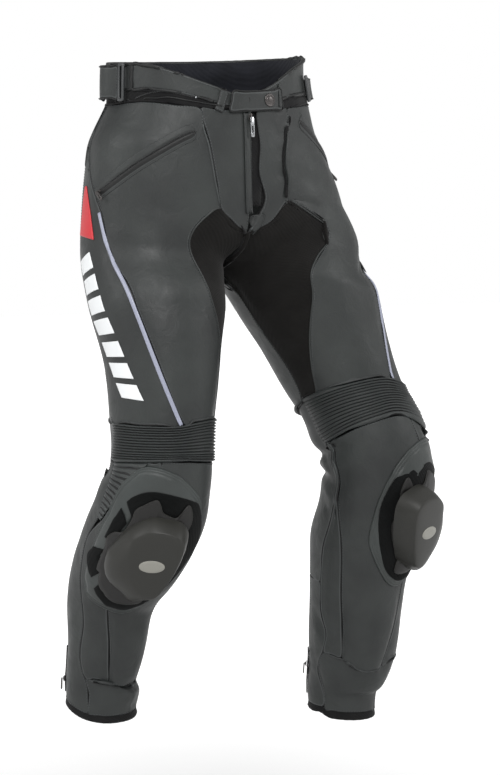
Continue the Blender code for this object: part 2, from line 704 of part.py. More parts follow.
def zip_pull(name, frame, length, width, material, group):
    """A pull tab that hangs from its slider; its origin is on the hinge line across its top end."""
    place, down, across, out, height = frame
    bm = rounded_box((width, length, PULL_THICKNESS), width * 0.35, 2)
    bmesh.ops.translate(bm, vec=Vector((0, length / 2 - PULL_TOP, 0)) * MM, verts=bm.verts)
    hinge = place + out * (height + PULL_GAP + PULL_THICKNESS / 2) + down * 1.0
    item = placed(name, bm, hinge, (across, down, out), material, group)
    combine(item, cube((width * 0.4, length * 0.38, 4), (0, length * 0.62, 0)), "DIFFERENCE")
    return item


def make_waist(materials, group):
    leather = materials["leather"]
    for side in SIDES:
        turns = np.linspace(0.0, 150.0, 10)
        band_wall("waistband_" + side, [(side, t) for t in turns], "waist_top", "waist_bottom", 2, 3.0, leather,
                  group)
    back = [("right", t) for t in np.linspace(150.5, 360, 11)]
    back += [("left", t) for t in np.linspace(360, 150.5, 11)[1:]]
    band_wall("waistband_back", back, "waist_top", "waist_bottom", 2, 3.0, leather, group)
    turns = list(np.linspace(0.0, 150.0, 10))[1:] + list(np.linspace(150.0, 360, 11))[1:]
    strip = [("right", t) for t in turns] + [("left", t) for t in reversed(turns[:-1])]
    band_wall("waist_strip", strip, "waist_bottom", "panel_top", 1, 2.0, materials["elastic_webbing"], group)
    lining = [("right", t) for t in np.linspace(110, 360, 12)]
    lining += [("left", t) for t in np.linspace(360, 110, 12)[1:]]
    lining_wall("waist_lining", lining, materials["lining_fabric"], group)


def band_wall(name, places, top, bottom, steps, thickness, material, group):
    """A wall between two round seams along a run of (side, turn) places, which may cross the centre back."""
    outer, inner = [], []
    for share in np.linspace(0, 1, steps + 1):
        out_row, in_row = [], []
        for side, turn in places:
            start, end = row_at(side, top, turn), row_at(side, bottom, turn)
            drop = np.array(start * (1 - share) + end * share)
            point, normal = surface(side, drop, np.array(turn)), facing(side, drop, np.array(turn))
            if turn in (0.0, 360.0):
                normal = unit(normal * np.array([0.0, 1.0, 1.0]))
            out_row.append(point)
            in_row.append(point - normal * thickness)
        outer.append(out_row)
        inner.append(in_row)
    outer, inner = np.array(outer), np.array(inner)
    shift = pull_in_edges(outer, SEAM_GAP / 2, ("top", "bottom", "first", "last")) - outer
    outer, inner = outer + shift, inner + shift
    crosses = places[0][0] != places[-1][0]
    if not crosses:
        outer, inner = keep_to_side(places[0][0], outer), keep_to_side(places[0][0], inner)
    return wall(name, outer, inner, material, group)


LINING_DEPTH = 74.0
LINING_INSET = 4.4


def lining_wall(name, places, material, group):
    """The lining that shows inside the back of the waist, behind the band and the strip."""
    outer, inner = [], []
    for share in np.linspace(0, 1, 4):
        out_row, in_row = [], []
        for side, turn in places:
            drop = np.array(row_at(side, "waist_top", turn) + 2.0 + share * LINING_DEPTH)
            point, normal = surface(side, drop, np.array(turn)), facing(side, drop, np.array(turn))
            if turn == 360.0:
                normal = unit(normal * np.array([0.0, 1.0, 1.0]))
            out_row.append(point - normal * LINING_INSET)
            in_row.append(point - normal * (LINING_INSET + LINING))
        outer.append(out_row)
        inner.append(in_row)
    return wall(name, np.array(outer), np.array(inner), material, group)


TAB_PLACES = (("right", 21.0), ("right", 11.0), ("left", 1.0), ("left", 13.0), ("left", 25.0), ("left", 34.0),
              ("left", 42.0))
TAB_DROPS = {"top": (17.5, 17.5, 17, 16, 14.5, 13, 11.5), "bottom": (46, 45.5, 45, 44, 43, 42, 41)}
TAB_THICKNESS = 2.4
SNAP_RADIUS = 10.0
SNAP_HEIGHT = 3.0


def make_closure(materials, group):
    """The closing tab over the front of the band, its snap and the loop beside it."""
    rows = {}
    for lift in (LAYER_GAP, LAYER_GAP + TAB_THICKNESS):
        rows[lift] = []
        for share in (0.0, 0.5, 1.0):
            row = []
            for k, (side, turn) in enumerate(TAB_PLACES):
                slant = (4.0 if k == 0 else 0.0) * share
                drop = np.array(TAB_DROPS["top"][k] * (1 - share) + TAB_DROPS["bottom"][k] * share)
                turned = np.array(turn + slant)
                row.append(surface(side, drop, turned) + facing(side, drop, turned) * lift)
            rows[lift].append(row)
    wall("closure_tab", rows[LAYER_GAP + TAB_THICKNESS], rows[LAYER_GAP], materials["leather"], group)
    place, down, across, out = local_frame("left", 28.5, 25.0)
    bm = bmesh.new()
    bmesh.ops.create_cone(bm, cap_ends=True, segments=20, radius1=SNAP_RADIUS * MM,
                          radius2=SNAP_RADIUS * 0.72 * MM,
                          depth=SNAP_HEIGHT * MM)
    placed("snap_button", bm, place + out * (2 * LAYER_GAP + TAB_THICKNESS + SNAP_HEIGHT / 2),
           (across, down, out), materials["gunmetal"], group)
    places = line_between([(16.0, 31.0), (31.0, 34.5), (46.0, 38.0)], 4)
    ribbon("belt_loop", "right", places, 13.0, LAYER_GAP, (2.0, 2.6, 2.0), materials["leather"], group)


# Each side's adjuster: turn of the ring, first and last turn of the strap, drop of its middle, its height
# and how far it stands out.
ADJUSTERS = {"right": (166.0, 174.0, 222.0, 3.0, 46.0, 14.0), "left": (103.0, 111.0, 159.0, 8.0, 30.0, 6.0)}
STRAP_LIFT = 1.0
STRAP_THICKNESS = 4.0
RING_WIDTH = 14.0
RING_THICKNESS = 3.6
RING_BAR = 4.5
RING_SLACK = 2.0
RING_LIFT = 5.4


def make_adjusters(materials, group):
    """A folded strap and the rectangular ring that it passes, at each side of the waist."""
    for side, (ring_turn, start, end, middle, height, bulge) in ADJUSTERS.items():
        along = np.linspace(0, 1, 9)[None, :]
        drop = middle + height * np.linspace(-0.5, 0.5, 3)[:, None] + 0 * along
        turn = start + (end - start) * along + 0 * drop
        point, normal = surface(side, drop, turn), facing(side, drop, turn)
        lift = STRAP_LIFT + bulge * np.sin(math.pi * along + 0 * drop)[..., None]
        wall("adjuster_strap_" + side, point + normal * (lift + STRAP_THICKNESS), point + normal * lift,
             materials["leather"], group)
        place, down, across, out = local_frame(side, middle, ring_turn)
        window = height + RING_SLACK
        frame = rounded_box((RING_WIDTH, window + 2 * RING_BAR, RING_THICKNESS), 3.0, 2)
        ring = placed("adjuster_ring_" + side, frame, place + out * RING_LIFT, (across, down, out),
                      materials["buckle_plastic"], group)
        combine(ring, cube((RING_WIDTH - 2 * RING_BAR, window, 3 * RING_THICKNESS)), "DIFFERENCE")


POCKETS = {
    "right": ((170, 177), (128, 120), (100, 87), (76, 58)),
    "left": ((142, 156), (112, 126), (82, 96), (57, 66)),
}
POCKET_WIDTH = 21.0
POCKET_LIFT = 1.5
WELT_HEIGHTS = (1.2, 2.4, 2.4, 1.2, 1.6, 1.2, 2.4, 2.4, 1.2)


def make_pockets(materials, group):
    """A zip between two raised welts on each hip, with its slider and pull at the outer end."""
    for side, line in POCKETS.items():
        places = line_between(line, 9)
        item = ribbon("pocket_zip_" + side, side, places, POCKET_WIDTH, POCKET_LIFT, WELT_HEIGHTS,
                      materials["leather"], group)
        drop, turn = places[0]
        frame = add_slider(item, side, drop - 5, turn - 8, POCKET_LIFT + 1.2, -52.0 * SIGN[side], 4.0, 6.5)
        zip_pull("pocket_pull_" + side, frame, 19.0, 6.0, materials["gunmetal"], group)


PIPING_WIDTH = 6.0
PIPING_LIFT = 3.1


def make_piping(materials, group):
    """The reflective strip along each side seam, from the pocket to the pleats."""
    for side in SIDES:
        drop, turn = grid_places(side, ("fly_end", "pleat_top"), [ROW_STEPS["fly_end"]],
                                 ("side_seam", "back_seam"), THIGH_STEPS[2:])
        points, normal = surface(side, drop, turn)[:, :2], facing(side, drop, turn)[:, 0]
        points = pull_in_edges(points, 1.5, ("top", "bottom"))
        across = unit(points[:, 1] - points[:, 0])
        outer, inner = [], []
        for share, height in ((0.0, 0.8), (0.5, 1.1), (1.0, 0.8)):
            line = points[:, 0] + across * (0.5 + PIPING_WIDTH * share)
            outer.append(line + normal * (PIPING_LIFT + height))
            inner.append(line + normal * PIPING_LIFT)
        wall("reflective_piping_" + side, np.stack(outer, 1), np.stack(inner, 1), materials["reflective_tape"],
             group)


GUARD_SWELL = 9.0
GUARD_START = 112.0
GUARD_RISE = 60.0


def guard_swell(side):
    """How far the shin guard stands out at each place: most in its middle, ending in a ledge."""
    def height(drop, turn):
        first = column_at(side, "guard_inner", drop)
        last = column_at(side, "guard_outer", drop)
        round_share = np.clip((turn - first) / (last - first), 0, 1)
        start = CUP_CENTRE_DROP[side] + GUARD_START
        down_share = np.clip((drop - start) / GUARD_RISE, 0, 1)
        ledge = np.sin(math.pi * round_share) ** 0.6
        return GUARD_SWELL * ledge * down_share
    return height


def make_legs(materials, group):
    leather = materials["leather"]
    for side in SIDES:
        thigh_panels(side, materials, group)
        pleated_panel("knee_pleats_" + side, side, ("pleat_top", "pleat_end"),
                      ("inseam", "back_seam"), (12,), PLEATS_IN_BAND, 1.2, leather, group)
        pleated_panel("pleat_tail_" + side, side, ("pleat_end", "tail_tip"), ("long_seam", "tail_outer"), (4,),
                      PLEATS_IN_TAIL, SEAM_GAP / 2, leather, group)
        panel("knee_back_" + side, side, ("pleat_top", "pleat_end", "tail_tip", "cup_end"),
              ("back_seam", "inseam+360"), (8,), leather, group)
        panel("shin_strip_" + side, side, ("pleat_end", "tail_tip", "cup_end", "guard_end"),
              ("inseam", "guard_inner"), (2,), leather, group)
        panel("knee_and_guard_" + side, side, ("pleat_end", "tail_tip", "cup_end", "guard_end"),
              ("guard_inner", "guard_outer"), (7,), leather, group, swell=guard_swell(side))
        panel("shin_outer_" + side, side, ("pleat_end", "tail_tip", "cup_end", "guard_end"),
              ("guard_outer", "long_seam"), (3,), leather, group)
        panel("cuff_front_" + side, side, ("guard_end", "hem_top"),
              ("inseam", "guard_inner", "guard_outer", "long_seam"), (2, 7, 3), leather, group)
        two_part_panel("calf_" + side, side, ("pleat_end", "tail_tip"), ("tail_outer", "back_seam"),
                       ("tail_tip", "cup_end", "guard_end", "hem_top"), ("long_seam", "back_seam"), 3,
                       leather, group)
        panel("calf_back_" + side, side, ("cup_end", "guard_end", "hem_top"), ("back_seam", "inseam+360"), (7,),
              leather, group)
        hem_binding("hem_binding_" + side, side, materials["elastic_webbing"], group)


def thigh_panels(side, materials, group):
    """The leather front, side and back of the thigh and the stretch panel inside it."""
    leather = materials["leather"]
    two_part_panel("thigh_front_" + side, side, ("panel_top", "fly_end"), ("princess", "side_seam"),
                   ("fly_end", "pleat_top"), ("stretch_edge", "side_seam"), THIGH_STEPS[1], leather, group)
    panel("side_panel_" + side, side, ("panel_top", "fly_end", "pleat_top"), ("side_seam", "back_seam"),
          THIGH_STEPS[2:], leather, group)
    panel("seat_and_thigh_back_" + side, side, ("panel_top", "fly_end", "pleat_top"),
          ("back_seam", "inseam+360"), (8,), leather, group)
    fly_drop, fly_turn = grid_places(side, ("panel_top", "fly_end"), [ROW_STEPS["panel_top"]],
                                     ("fly_edge", "princess"), THIGH_STEPS[:1])
    panel("inner_stretch_" + side, side, ("fly_end", "pleat_top"), ("inseam", "stretch_edge"), THIGH_STEPS[:1],
          materials["stretch_fabric"], group, STRETCH, top_line=(fly_drop[-1], fly_turn[-1]))


def two_part_panel(name, side, rows_above, columns_above, rows_below, columns_below, steps, material, group):
    """A panel whose long edges follow one pair of seams above a round seam and another pair below it."""
    upper = grid_places(side, rows_above, [ROW_STEPS[r] for r in rows_above[:-1]], columns_above, [steps])
    lower = grid_places(side, rows_below, [ROW_STEPS[r] for r in rows_below[:-1]], columns_below, [steps])
    drop = np.concatenate([upper[0], lower[0][1:]])
    turn = np.concatenate([upper[1], lower[1][1:]])
    normal = facing(side, drop, turn)
    outer = pull_in_edges(surface(side, drop, turn), SEAM_GAP / 2, ("bottom", "first", "last"))
    outer = pull_in_edges(outer, ROUND_SEAM_GAP, ("top",))
    return wall(name, outer, outer - normal * LEATHER, material, group)


HEM_STANDS_OUT = 0.8
HEM_DEPTH = 2.4
HEM_GAP = 2.0


def hem_binding(name, side, material, group):
    """A closed ring at the foot of the leg."""
    turns = np.linspace(0, 360, 25)[:-1]
    outer, inner = [], []
    for share in (0.0, 1.0):
        drop = row_at(side, "hem_top", turns) * (1 - share) + row_at(side, "hem_end", turns) * share
        drop = drop + (HEM_GAP if share == 0 else 0)
        point, normal = surface(side, drop, turns), facing(side, drop, turns)
        outer.append(point + normal * HEM_STANDS_OUT)
        inner.append(point - normal * HEM_DEPTH)
    return wall(name, outer, inner, material, group, closed=True)


def make_knees(materials, group):
    for side in SIDES:
        centre = (CUP_CENTRE_DROP[side], CUP_TURN[side])
        knee_layer("knee_cup_" + side, side, centre, len(KNEE_RINGS), CUP_LIFT, CUP_THICKNESS,
                   materials["leather"], group)
        knee_layer("loop_field_" + side, side, centre, LOOP_RINGS, LOOP_LIFT, LOOP_THICKNESS,
                   materials["loop_fabric"], group)
        knee_slider("knee_slider_" + side, side, centre, materials["slider_plastic"], group)


ANKLE_LIFT = 1.0
# Each side's ankle zip: turn, first and last drop, and the drop of its slider.
ANKLE_ZIPS = {"right": (222.0, 866.0, 926.0, 908.0), "left": (296.0, 880.0, 946.0, 912.0)}


def make_ankle_zips(materials, group):
    """The zip that opens each ankle, on the back of the calf."""
    for side, (turn, top, bottom, slider) in ANKLE_ZIPS.items():
        places = line_between([(top, turn), (bottom, turn)], 5)
        item = ribbon("ankle_zip_" + side, side, places, 10.0, ANKLE_LIFT, (1.2, 1.8, 1.2),
                      materials["zip_tape"], group)
        frame = add_slider(item, side, slider, turn, ANKLE_LIFT + 1.2, 0.0, 4.0, 6.5)
        zip_pull("ankle_pull_" + side, frame, 18.0, 6.0, materials["gunmetal"], group)


def main():
    remove_everything()
    group = bpy.data.collections.new(COLLECTION)
    tools = bpy.data.collections.new(TOOL_COLLECTION)
    bpy.context.scene.collection.children.link(group)
    bpy.context.scene.collection.children.link(tools)
    materials = make_materials()
    make_waist(materials, group)
    make_closure(materials, group)
    make_adjusters(materials, group)
    make_fly(materials, group)
    make_pockets(materials, group)
    make_legs(materials, group)
    make_piping(materials, group)
    make_knees(materials, group)
    make_ankle_zips(materials, group)


main()
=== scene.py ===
import math

import bmesh
import bpy
import numpy as np
from mathutils import Matrix, Vector, noise
from mathutils.bvhtree import BVHTree
from mathutils.kdtree import KDTree


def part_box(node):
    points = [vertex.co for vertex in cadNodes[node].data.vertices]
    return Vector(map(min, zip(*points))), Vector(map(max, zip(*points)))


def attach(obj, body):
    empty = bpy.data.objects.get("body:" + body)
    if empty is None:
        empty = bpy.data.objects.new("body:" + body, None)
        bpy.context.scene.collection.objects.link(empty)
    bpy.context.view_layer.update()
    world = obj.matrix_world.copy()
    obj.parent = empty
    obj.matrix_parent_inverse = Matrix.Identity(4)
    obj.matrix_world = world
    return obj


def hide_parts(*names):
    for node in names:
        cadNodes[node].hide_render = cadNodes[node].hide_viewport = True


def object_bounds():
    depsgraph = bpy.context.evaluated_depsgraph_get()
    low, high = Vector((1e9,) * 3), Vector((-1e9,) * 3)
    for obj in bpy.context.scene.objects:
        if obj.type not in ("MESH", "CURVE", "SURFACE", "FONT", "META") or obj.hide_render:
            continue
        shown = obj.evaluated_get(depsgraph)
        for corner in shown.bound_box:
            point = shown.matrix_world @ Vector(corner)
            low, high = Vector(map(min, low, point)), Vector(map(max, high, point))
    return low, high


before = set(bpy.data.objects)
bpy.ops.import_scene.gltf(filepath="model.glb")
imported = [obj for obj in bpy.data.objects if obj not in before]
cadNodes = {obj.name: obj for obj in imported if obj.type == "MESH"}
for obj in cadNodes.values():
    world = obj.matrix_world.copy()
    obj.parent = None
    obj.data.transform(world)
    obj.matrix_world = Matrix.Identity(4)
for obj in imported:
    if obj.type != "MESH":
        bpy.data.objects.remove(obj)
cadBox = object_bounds()
mainBody = "trousers"
sides = ("right", "left")
mm = 0.001


# camera: the photograph's view, from the front right of the wearer
camera = {
    "place": (-2.231, -3.309, -0.184),
    "target": (0.0577, -0.0404, -0.4628),
    "focalPixels": 2614.0,
    "sensor": 36.0,
    "frame": (500, 775),
}


def makeCamera():
    data = bpy.data.cameras.new("studioCamera")
    item = bpy.data.objects.new("studioCamera", data)
    bpy.context.scene.collection.objects.link(item)
    place, target = Vector(camera["place"]), Vector(camera["target"])
    turn = (target - place).to_track_quat("-Z", "Y").to_matrix().to_4x4()
    item.matrix_world = Matrix.Translation(place) @ turn
    data.sensor_width = camera["sensor"]
    # the long side takes the sensor
    data.lens = camera["focalPixels"] * camera["sensor"] / camera["frame"][1]
    bpy.context.scene.camera = item
    return item


cameraObject = makeCamera()


def treeOf(items):
    corners, faces = [], []
    for item in items:
        start = len(corners)
        corners.extend(v.co.copy() for v in item.data.vertices)
        faces.extend([start + i for i in p.vertices] for p in item.data.polygons)
    return BVHTree.FromPolygons(corners, faces)


cadTree = treeOf(cadNodes.values())


def pixelRay(x, y):
    turn = cameraObject.matrix_world.to_3x3()
    width, height = camera["frame"]
    return (turn @ Vector((x - width / 2, height / 2 - y, -camera["focalPixels"]))).normalized()


def atPixel(x, y, tree=None):
    # the place that the photograph shows at a pixel, and the way out of the surface there
    place, normal, _, _ = (tree or cadTree).ray_cast(Vector(camera["place"]), pixelRay(x, y))
    return place, normal


print("frame and camera ready")


# materials
def colour(code):
    values = [int(code[k:k + 2], 16) / 255 for k in (0, 2, 4)]
    return [v / 12.92 if v <= 0.04045 else ((v + 0.055) / 1.055) ** 2.4 for v in values] + [1.0]


def addNode(tree, kind, settings=None, links=None):
    # one node with its settings; links maps an input to the output that feeds it
    item = tree.nodes.new(kind)
    for name, value in (settings or {}).items():
        if isinstance(name, str) and hasattr(item, name):
            setattr(item, name, value)
        else:
            item.inputs[name].default_value = value
    for name, output in (links or {}).items():
        tree.links.new(output, item.inputs[name])
    return item


def newMaterial(name, base, roughness, metallic=0.0):
    material = bpy.data.materials.new(name)
    material.use_nodes = True
    tree = material.node_tree
    shader = tree.nodes["Principled BSDF"]
    shader.inputs["Base Color"].default_value = colour(base)
    shader.inputs["Roughness"].default_value = roughness
    shader.inputs["Metallic"].default_value = metallic
    return material, tree, shader


def ramp(tree, source, stops):
    item = addNode(tree, "ShaderNodeValToRGB", None, {"Fac": source})
    item.color_ramp.elements[0].position, item.color_ramp.elements[0].color = stops[0]
    item.color_ramp.elements[1].position, item.color_ramp.elements[1].color = stops[-1]
    for position, value in stops[1:-1]:
        item.color_ramp.elements.new(position).color = value
    return item.outputs["Color"]


cowhide = {
    # seam: painted dark shade for the seams' gaps; edge: painted highlight for the rolled edges beside them
    "light": "262928", "dark": "1B1D1D", "seam": "060707", "edge": "3A3D3D",
    "roughness": 0.5, "gloss": 0.32,
    "grainMm": 2.2, "creaseMm": 26.0, "cloudMm": 90.0,
    "gapReach": 10.0,  # how far from the edge the painted seam shade and the painted edge highlight reach, in millimetres
}


def makeCowhide(name, light, dark, roughness):
    # drum-dyed cowhide, matt finish: fine pebble, soft creases, duller hollows; painted dark shade in the seams' gaps
    # and a painted highlight on the rolled edges beside them
    material, tree, shader = newMaterial(name, light, roughness)
    shader.inputs["Specular IOR Level"].default_value = cowhide["gloss"]  # the dye's matt top coat
    place = addNode(tree, "ShaderNodeTexCoord").outputs["Object"]
    cloud = addNode(tree, "ShaderNodeTexNoise", {"Scale": 1000 / cowhide["cloudMm"], "Detail": 3.0},
                    {"Vector": place}).outputs["Fac"]
    base = ramp(tree, cloud, [(0.3, colour(dark)), (0.7, colour(light))])
    gap = addNode(tree, "ShaderNodeAttribute", {"attribute_name": "paintedShadeGap"}).outputs["Fac"]
    # the gap attribute is the distance from the panel's edge in millimetres, or a value given per piece; low values get
    # the painted seam shade, values near 2 mm the painted edge highlight
    black, white = (0, 0, 0, 1), (1, 1, 1, 1)
    share = addNode(tree, "ShaderNodeMath", {"operation": "DIVIDE", 1: cowhide["gapReach"]}, {0: gap}).outputs[0]
    # painted shade: the dark seam colour within 0.8 mm of the edge, fading out by 2 mm
    near = ramp(tree, share, [(0.0, black), (0.08, black), (0.2, white), (1.0, white)])
    # painted highlight: the lighter edge colour in a band that peaks 2 mm in from the edge
    paintedEdgeHighlight = ramp(tree, share, [(0.1, black), (0.2, white), (0.34, black)])
    mixPaintedHighlight = addNode(tree, "ShaderNodeMix", {"data_type": "RGBA"})
    tree.links.new(paintedEdgeHighlight, mixPaintedHighlight.inputs[0])
    tree.links.new(base, mixPaintedHighlight.inputs[6])
    mixPaintedHighlight.inputs[7].default_value = colour(cowhide["edge"])
    mixPaintedSeamShade = addNode(tree, "ShaderNodeMix", {"data_type": "RGBA"})
    tree.links.new(near, mixPaintedSeamShade.inputs[0])
    mixPaintedSeamShade.inputs[6].default_value = colour(cowhide["seam"])
    tree.links.new(mixPaintedHighlight.outputs[2], mixPaintedSeamShade.inputs[7])
    tree.links.new(mixPaintedSeamShade.outputs[2], shader.inputs["Base Color"])
    pebble = {"feature": "DISTANCE_TO_EDGE", "Scale": 1000 / cowhide["grainMm"]}
    grain = addNode(tree, "ShaderNodeTexVoronoi", pebble, {"Vector": place}).outputs["Distance"]
    wrinkle = {"Scale": 1000 / cowhide["creaseMm"], "Detail": 4.0, "Roughness": 0.55, "Distortion": 0.6}
    crease = addNode(tree, "ShaderNodeTexNoise", wrinkle, {"Vector": place}).outputs["Fac"]
    fine = addNode(tree, "ShaderNodeBump", {"Strength": 0.25, "Distance": 0.0004}, {"Height": grain})
    soft = addNode(tree, "ShaderNodeBump", {"Strength": 0.35, "Distance": 0.004},
                   {"Height": crease, "Normal": fine.outputs["Normal"]})
    tree.links.new(soft.outputs["Normal"], shader.inputs["Normal"])
    duller, shinier = (roughness + 0.08,) * 3 + (1,), (roughness - 0.06,) * 3 + (1,)
    rough = ramp(tree, crease, [(0.3, duller), (0.75, shinier)])
    tree.links.new(rough, shader.inputs["Roughness"])
    return material


def makeWoven(name, light, dark, roughness, threadMm, depth):
    # woven or knitted cloth: crossed threads, no gloss, a little fuzz at grazing angles
    material, tree, shader = newMaterial(name, light, roughness)
    place = addNode(tree, "ShaderNodeTexCoord").outputs["Object"]
    bands = {"Scale": 1000 / threadMm / 6.283, "Distortion": 1.5, "Detail": 2.0, "bands_direction": "DIAGONAL"}
    warp = addNode(tree, "ShaderNodeTexWave", bands, {"Vector": place}).outputs["Fac"]
    uneven = {"Scale": 28.0, "Detail": 5.0}
    cloud = addNode(tree, "ShaderNodeTexNoise", uneven, {"Vector": place}).outputs["Fac"]
    shader.inputs["Sheen Weight"].default_value = 0.04
    shader.inputs["Specular IOR Level"].default_value = 0.12  # threads scatter the gloss away
    base = ramp(tree, cloud, [(0.35, colour(dark)), (0.7, colour(light))])
    tree.links.new(base, shader.inputs["Base Color"])
    weave = addNode(tree, "ShaderNodeBump", {"Strength": 0.5, "Distance": depth}, {"Height": warp})
    tree.links.new(weave.outputs["Normal"], shader.inputs["Normal"])
    return material


def makeMoulded(name, light, roughness, metallic=0.0, gloss=0.5):
    # moulded plastic or cast metal: satin skin with a fine spark texture
    material, tree, shader = newMaterial(name, light, roughness, metallic)
    shader.inputs["Specular IOR Level"].default_value = gloss
    place = addNode(tree, "ShaderNodeTexCoord").outputs["Object"]
    speckle = {"Scale": 700.0, "Detail": 2.0}
    spark = addNode(tree, "ShaderNodeTexNoise", speckle, {"Vector": place}).outputs["Fac"]
    skin = addNode(tree, "ShaderNodeBump", {"Strength": 0.12, "Distance": 0.0004}, {"Height": spark})
    tree.links.new(skin.outputs["Normal"], shader.inputs["Normal"])
    return material


finishes = {
    "leather": makeCowhide("mattBlackCowhide", cowhide["light"], cowhide["dark"], cowhide["roughness"]),
    "capLeather": makeCowhide("kneeCapCowhide", "303433", "272A29", 0.46),
    "pleatLeather": makeCowhide("pleatedCowhide", "2B2E2D", "212323", 0.48),
    "stretch": makeWoven("stretchCanvas", "121110", "0C0B0A", 0.9, 1.6, 0.0005),
    "lining": makeWoven("navyMeshLining", "1A1B20", "121317", 0.85, 2.0, 0.0006),
    "webbing": makeWoven("elasticWebbing", "161616", "0D0D0E", 0.85, 1.4, 0.0005),
    "loop": makeWoven("brushedLoopCloth", "0A0B0B", "050606", 1.0, 1.8, 0.0004),
    "slider": makeMoulded("mouldedKneeBlock", "20201D", 0.48, gloss=0.3),
    "wing": makeMoulded("mouldedWing", "100F0E", 0.5, gloss=0.3),
    "buckle": makeMoulded("nylonRing", "242627", 0.42),
    "gunmetal": makeMoulded("gunmetalPlate", "4A4746", 0.34, 0.9),
    "steel": makeMoulded("polishedSteel", "9C9EA0", 0.25, 1.0),
    "reflective": makeMoulded("reflectiveTape", "7E8190", 0.38),
    "thread": makeWoven("waxedThread", "2E3031", "222425", 0.7, 0.8, 0.0002),
    "coil": makeMoulded("nylonZipCoil", "161718", 0.4),
    "white": makeMoulded("whiteCutLeather", "C4C6C7", 0.5),
    "red": makeMoulded("redCutLeather", "A8141E", 0.5),
    "inlay": makeMoulded("greyInlay", "77766F", 0.45),
}
print("materials ready")


# studio
studio = {
    "floorDrop": 0.35, "floorSize": 40.0, "pale": "E6E6E6", "glow": 0.78, "glowFrom": (1.4, 3.4),
    # height in the sky, brightness
    "sky": ((0.0, 1.0), (0.13, 1.0), (0.32, 0.32), (0.6, 0.5), (1.0, 1.0)),
    # name, place, side of the soft box, watts
    "lamps": (("keyBox", (-1.3, -2.1, 1.7), 1.5, 85.0),
              ("sideBox", (2.6, -2.0, 1.4), 1.4, 40.0),
              ("rimBox", (-2.8, 0.6, 1.2), 1.4, 40.0)),
    "aim": (0.05, -0.05, -0.45),
}


def makeStudio():
    bpy.context.scene.view_settings.view_transform = "Standard"  # the photograph's own plain tone curve
    world = bpy.data.worlds.new("paleStudio")
    bpy.context.scene.world = world
    world.use_nodes = True
    tree = world.node_tree
    back = tree.nodes["Background"]
    way = addNode(tree, "ShaderNodeTexCoord").outputs["Generated"]
    height = addNode(tree, "ShaderNodeSeparateXYZ", None, {"Vector": way}).outputs["Z"]
    tree.links.new(ramp(tree, height, [(at, (level, level, level, 1.0)) for at, level in studio["sky"]]),
                   back.inputs["Color"])
    bm = bmesh.new()
    bmesh.ops.create_grid(bm, x_segments=1, y_segments=1, size=studio["floorSize"] / 2)
    bmesh.ops.translate(bm, vec=(0, 0, cadBox[0][2] - studio["floorDrop"]), verts=bm.verts)
    mesh = bpy.data.meshes.new("paleFloor")
    bm.to_mesh(mesh)
    bm.free()
    floor = bpy.data.objects.new("paleFloor", mesh)
    bpy.context.scene.collection.objects.link(floor)
    # a sweep of paper, plain round the garment and lit up towards the horizon
    paper, tree, shader = newMaterial("palePaper", studio["pale"], 0.9)
    away = addNode(tree, "ShaderNodeVectorMath", {"operation": "LENGTH"},
                   {0: addNode(tree, "ShaderNodeTexCoord").outputs["Object"]}).outputs["Value"]
    near, far = studio["glowFrom"]
    glow = addNode(tree, "ShaderNodeMapRange", {"From Min": near, "From Max": far, "To Max": studio["glow"]},
                   {"Value": away}).outputs["Result"]
    shader.inputs["Emission Color"].default_value = (1.0, 1.0, 1.0, 1.0)
    tree.links.new(glow, shader.inputs["Emission Strength"])
    mesh.materials.append(paper)
    for name, place, size, power in studio["lamps"]:
        data = bpy.data.lights.new(name, "AREA")
        data.energy, data.size = power, size
        lamp = bpy.data.objects.new(name, data)
        aim = Vector(studio["aim"]) - Vector(place)
        lamp.matrix_world = Matrix.Translation(place) @ aim.to_track_quat("-Z", "Y").to_matrix().to_4x4()
        bpy.context.scene.collection.objects.link(lamp)


makeStudio()
print("studio ready")


# shared tools for cloth
legLines = {  # middle of each leg, in metres: height, across, depth
    "right": ((-0.28, -0.105, -0.020), (-0.405, -0.121, -0.068), (-0.543, -0.135, -0.088),
              (-0.635, -0.139, -0.062), (-0.757, -0.146, 0.028), (-0.895, -0.147, 0.061), (-0.98, -0.147, 0.062)),
    "left": ((-0.28, 0.124, -0.024), (-0.405, 0.173, -0.089), (-0.497, 0.199, -0.125),
             (-0.589, 0.217, -0.148), (-0.696, 0.217, -0.114), (-0.88, 0.214, -0.088), (-0.98, 0.212, -0.070)),
}


def unit(rows):
    return rows / np.maximum(np.linalg.norm(rows, axis=-1, keepdims=True), 1e-9)


def middleAt(z, side):
    # middle of the waist above, of the leg below
    line = ((-0.20, 0.0, 0.0),) + legLines[side]
    if z >= line[0][0]:
        return Vector((0.0, 0.0, z))
    for above, below in zip(line, line[1:]):
        if z >= below[0]:
            share = (above[0] - z) / (above[0] - below[0])
            across, depth = (above[k] + (below[k] - above[k]) * share for k in (1, 2))
            return Vector((across, depth, z))
    return Vector((line[-1][1], line[-1][2], z))


def outward(point, side):
    away = point - middleAt(point.z, side)
    away.z = 0.0
    return away.normalized()


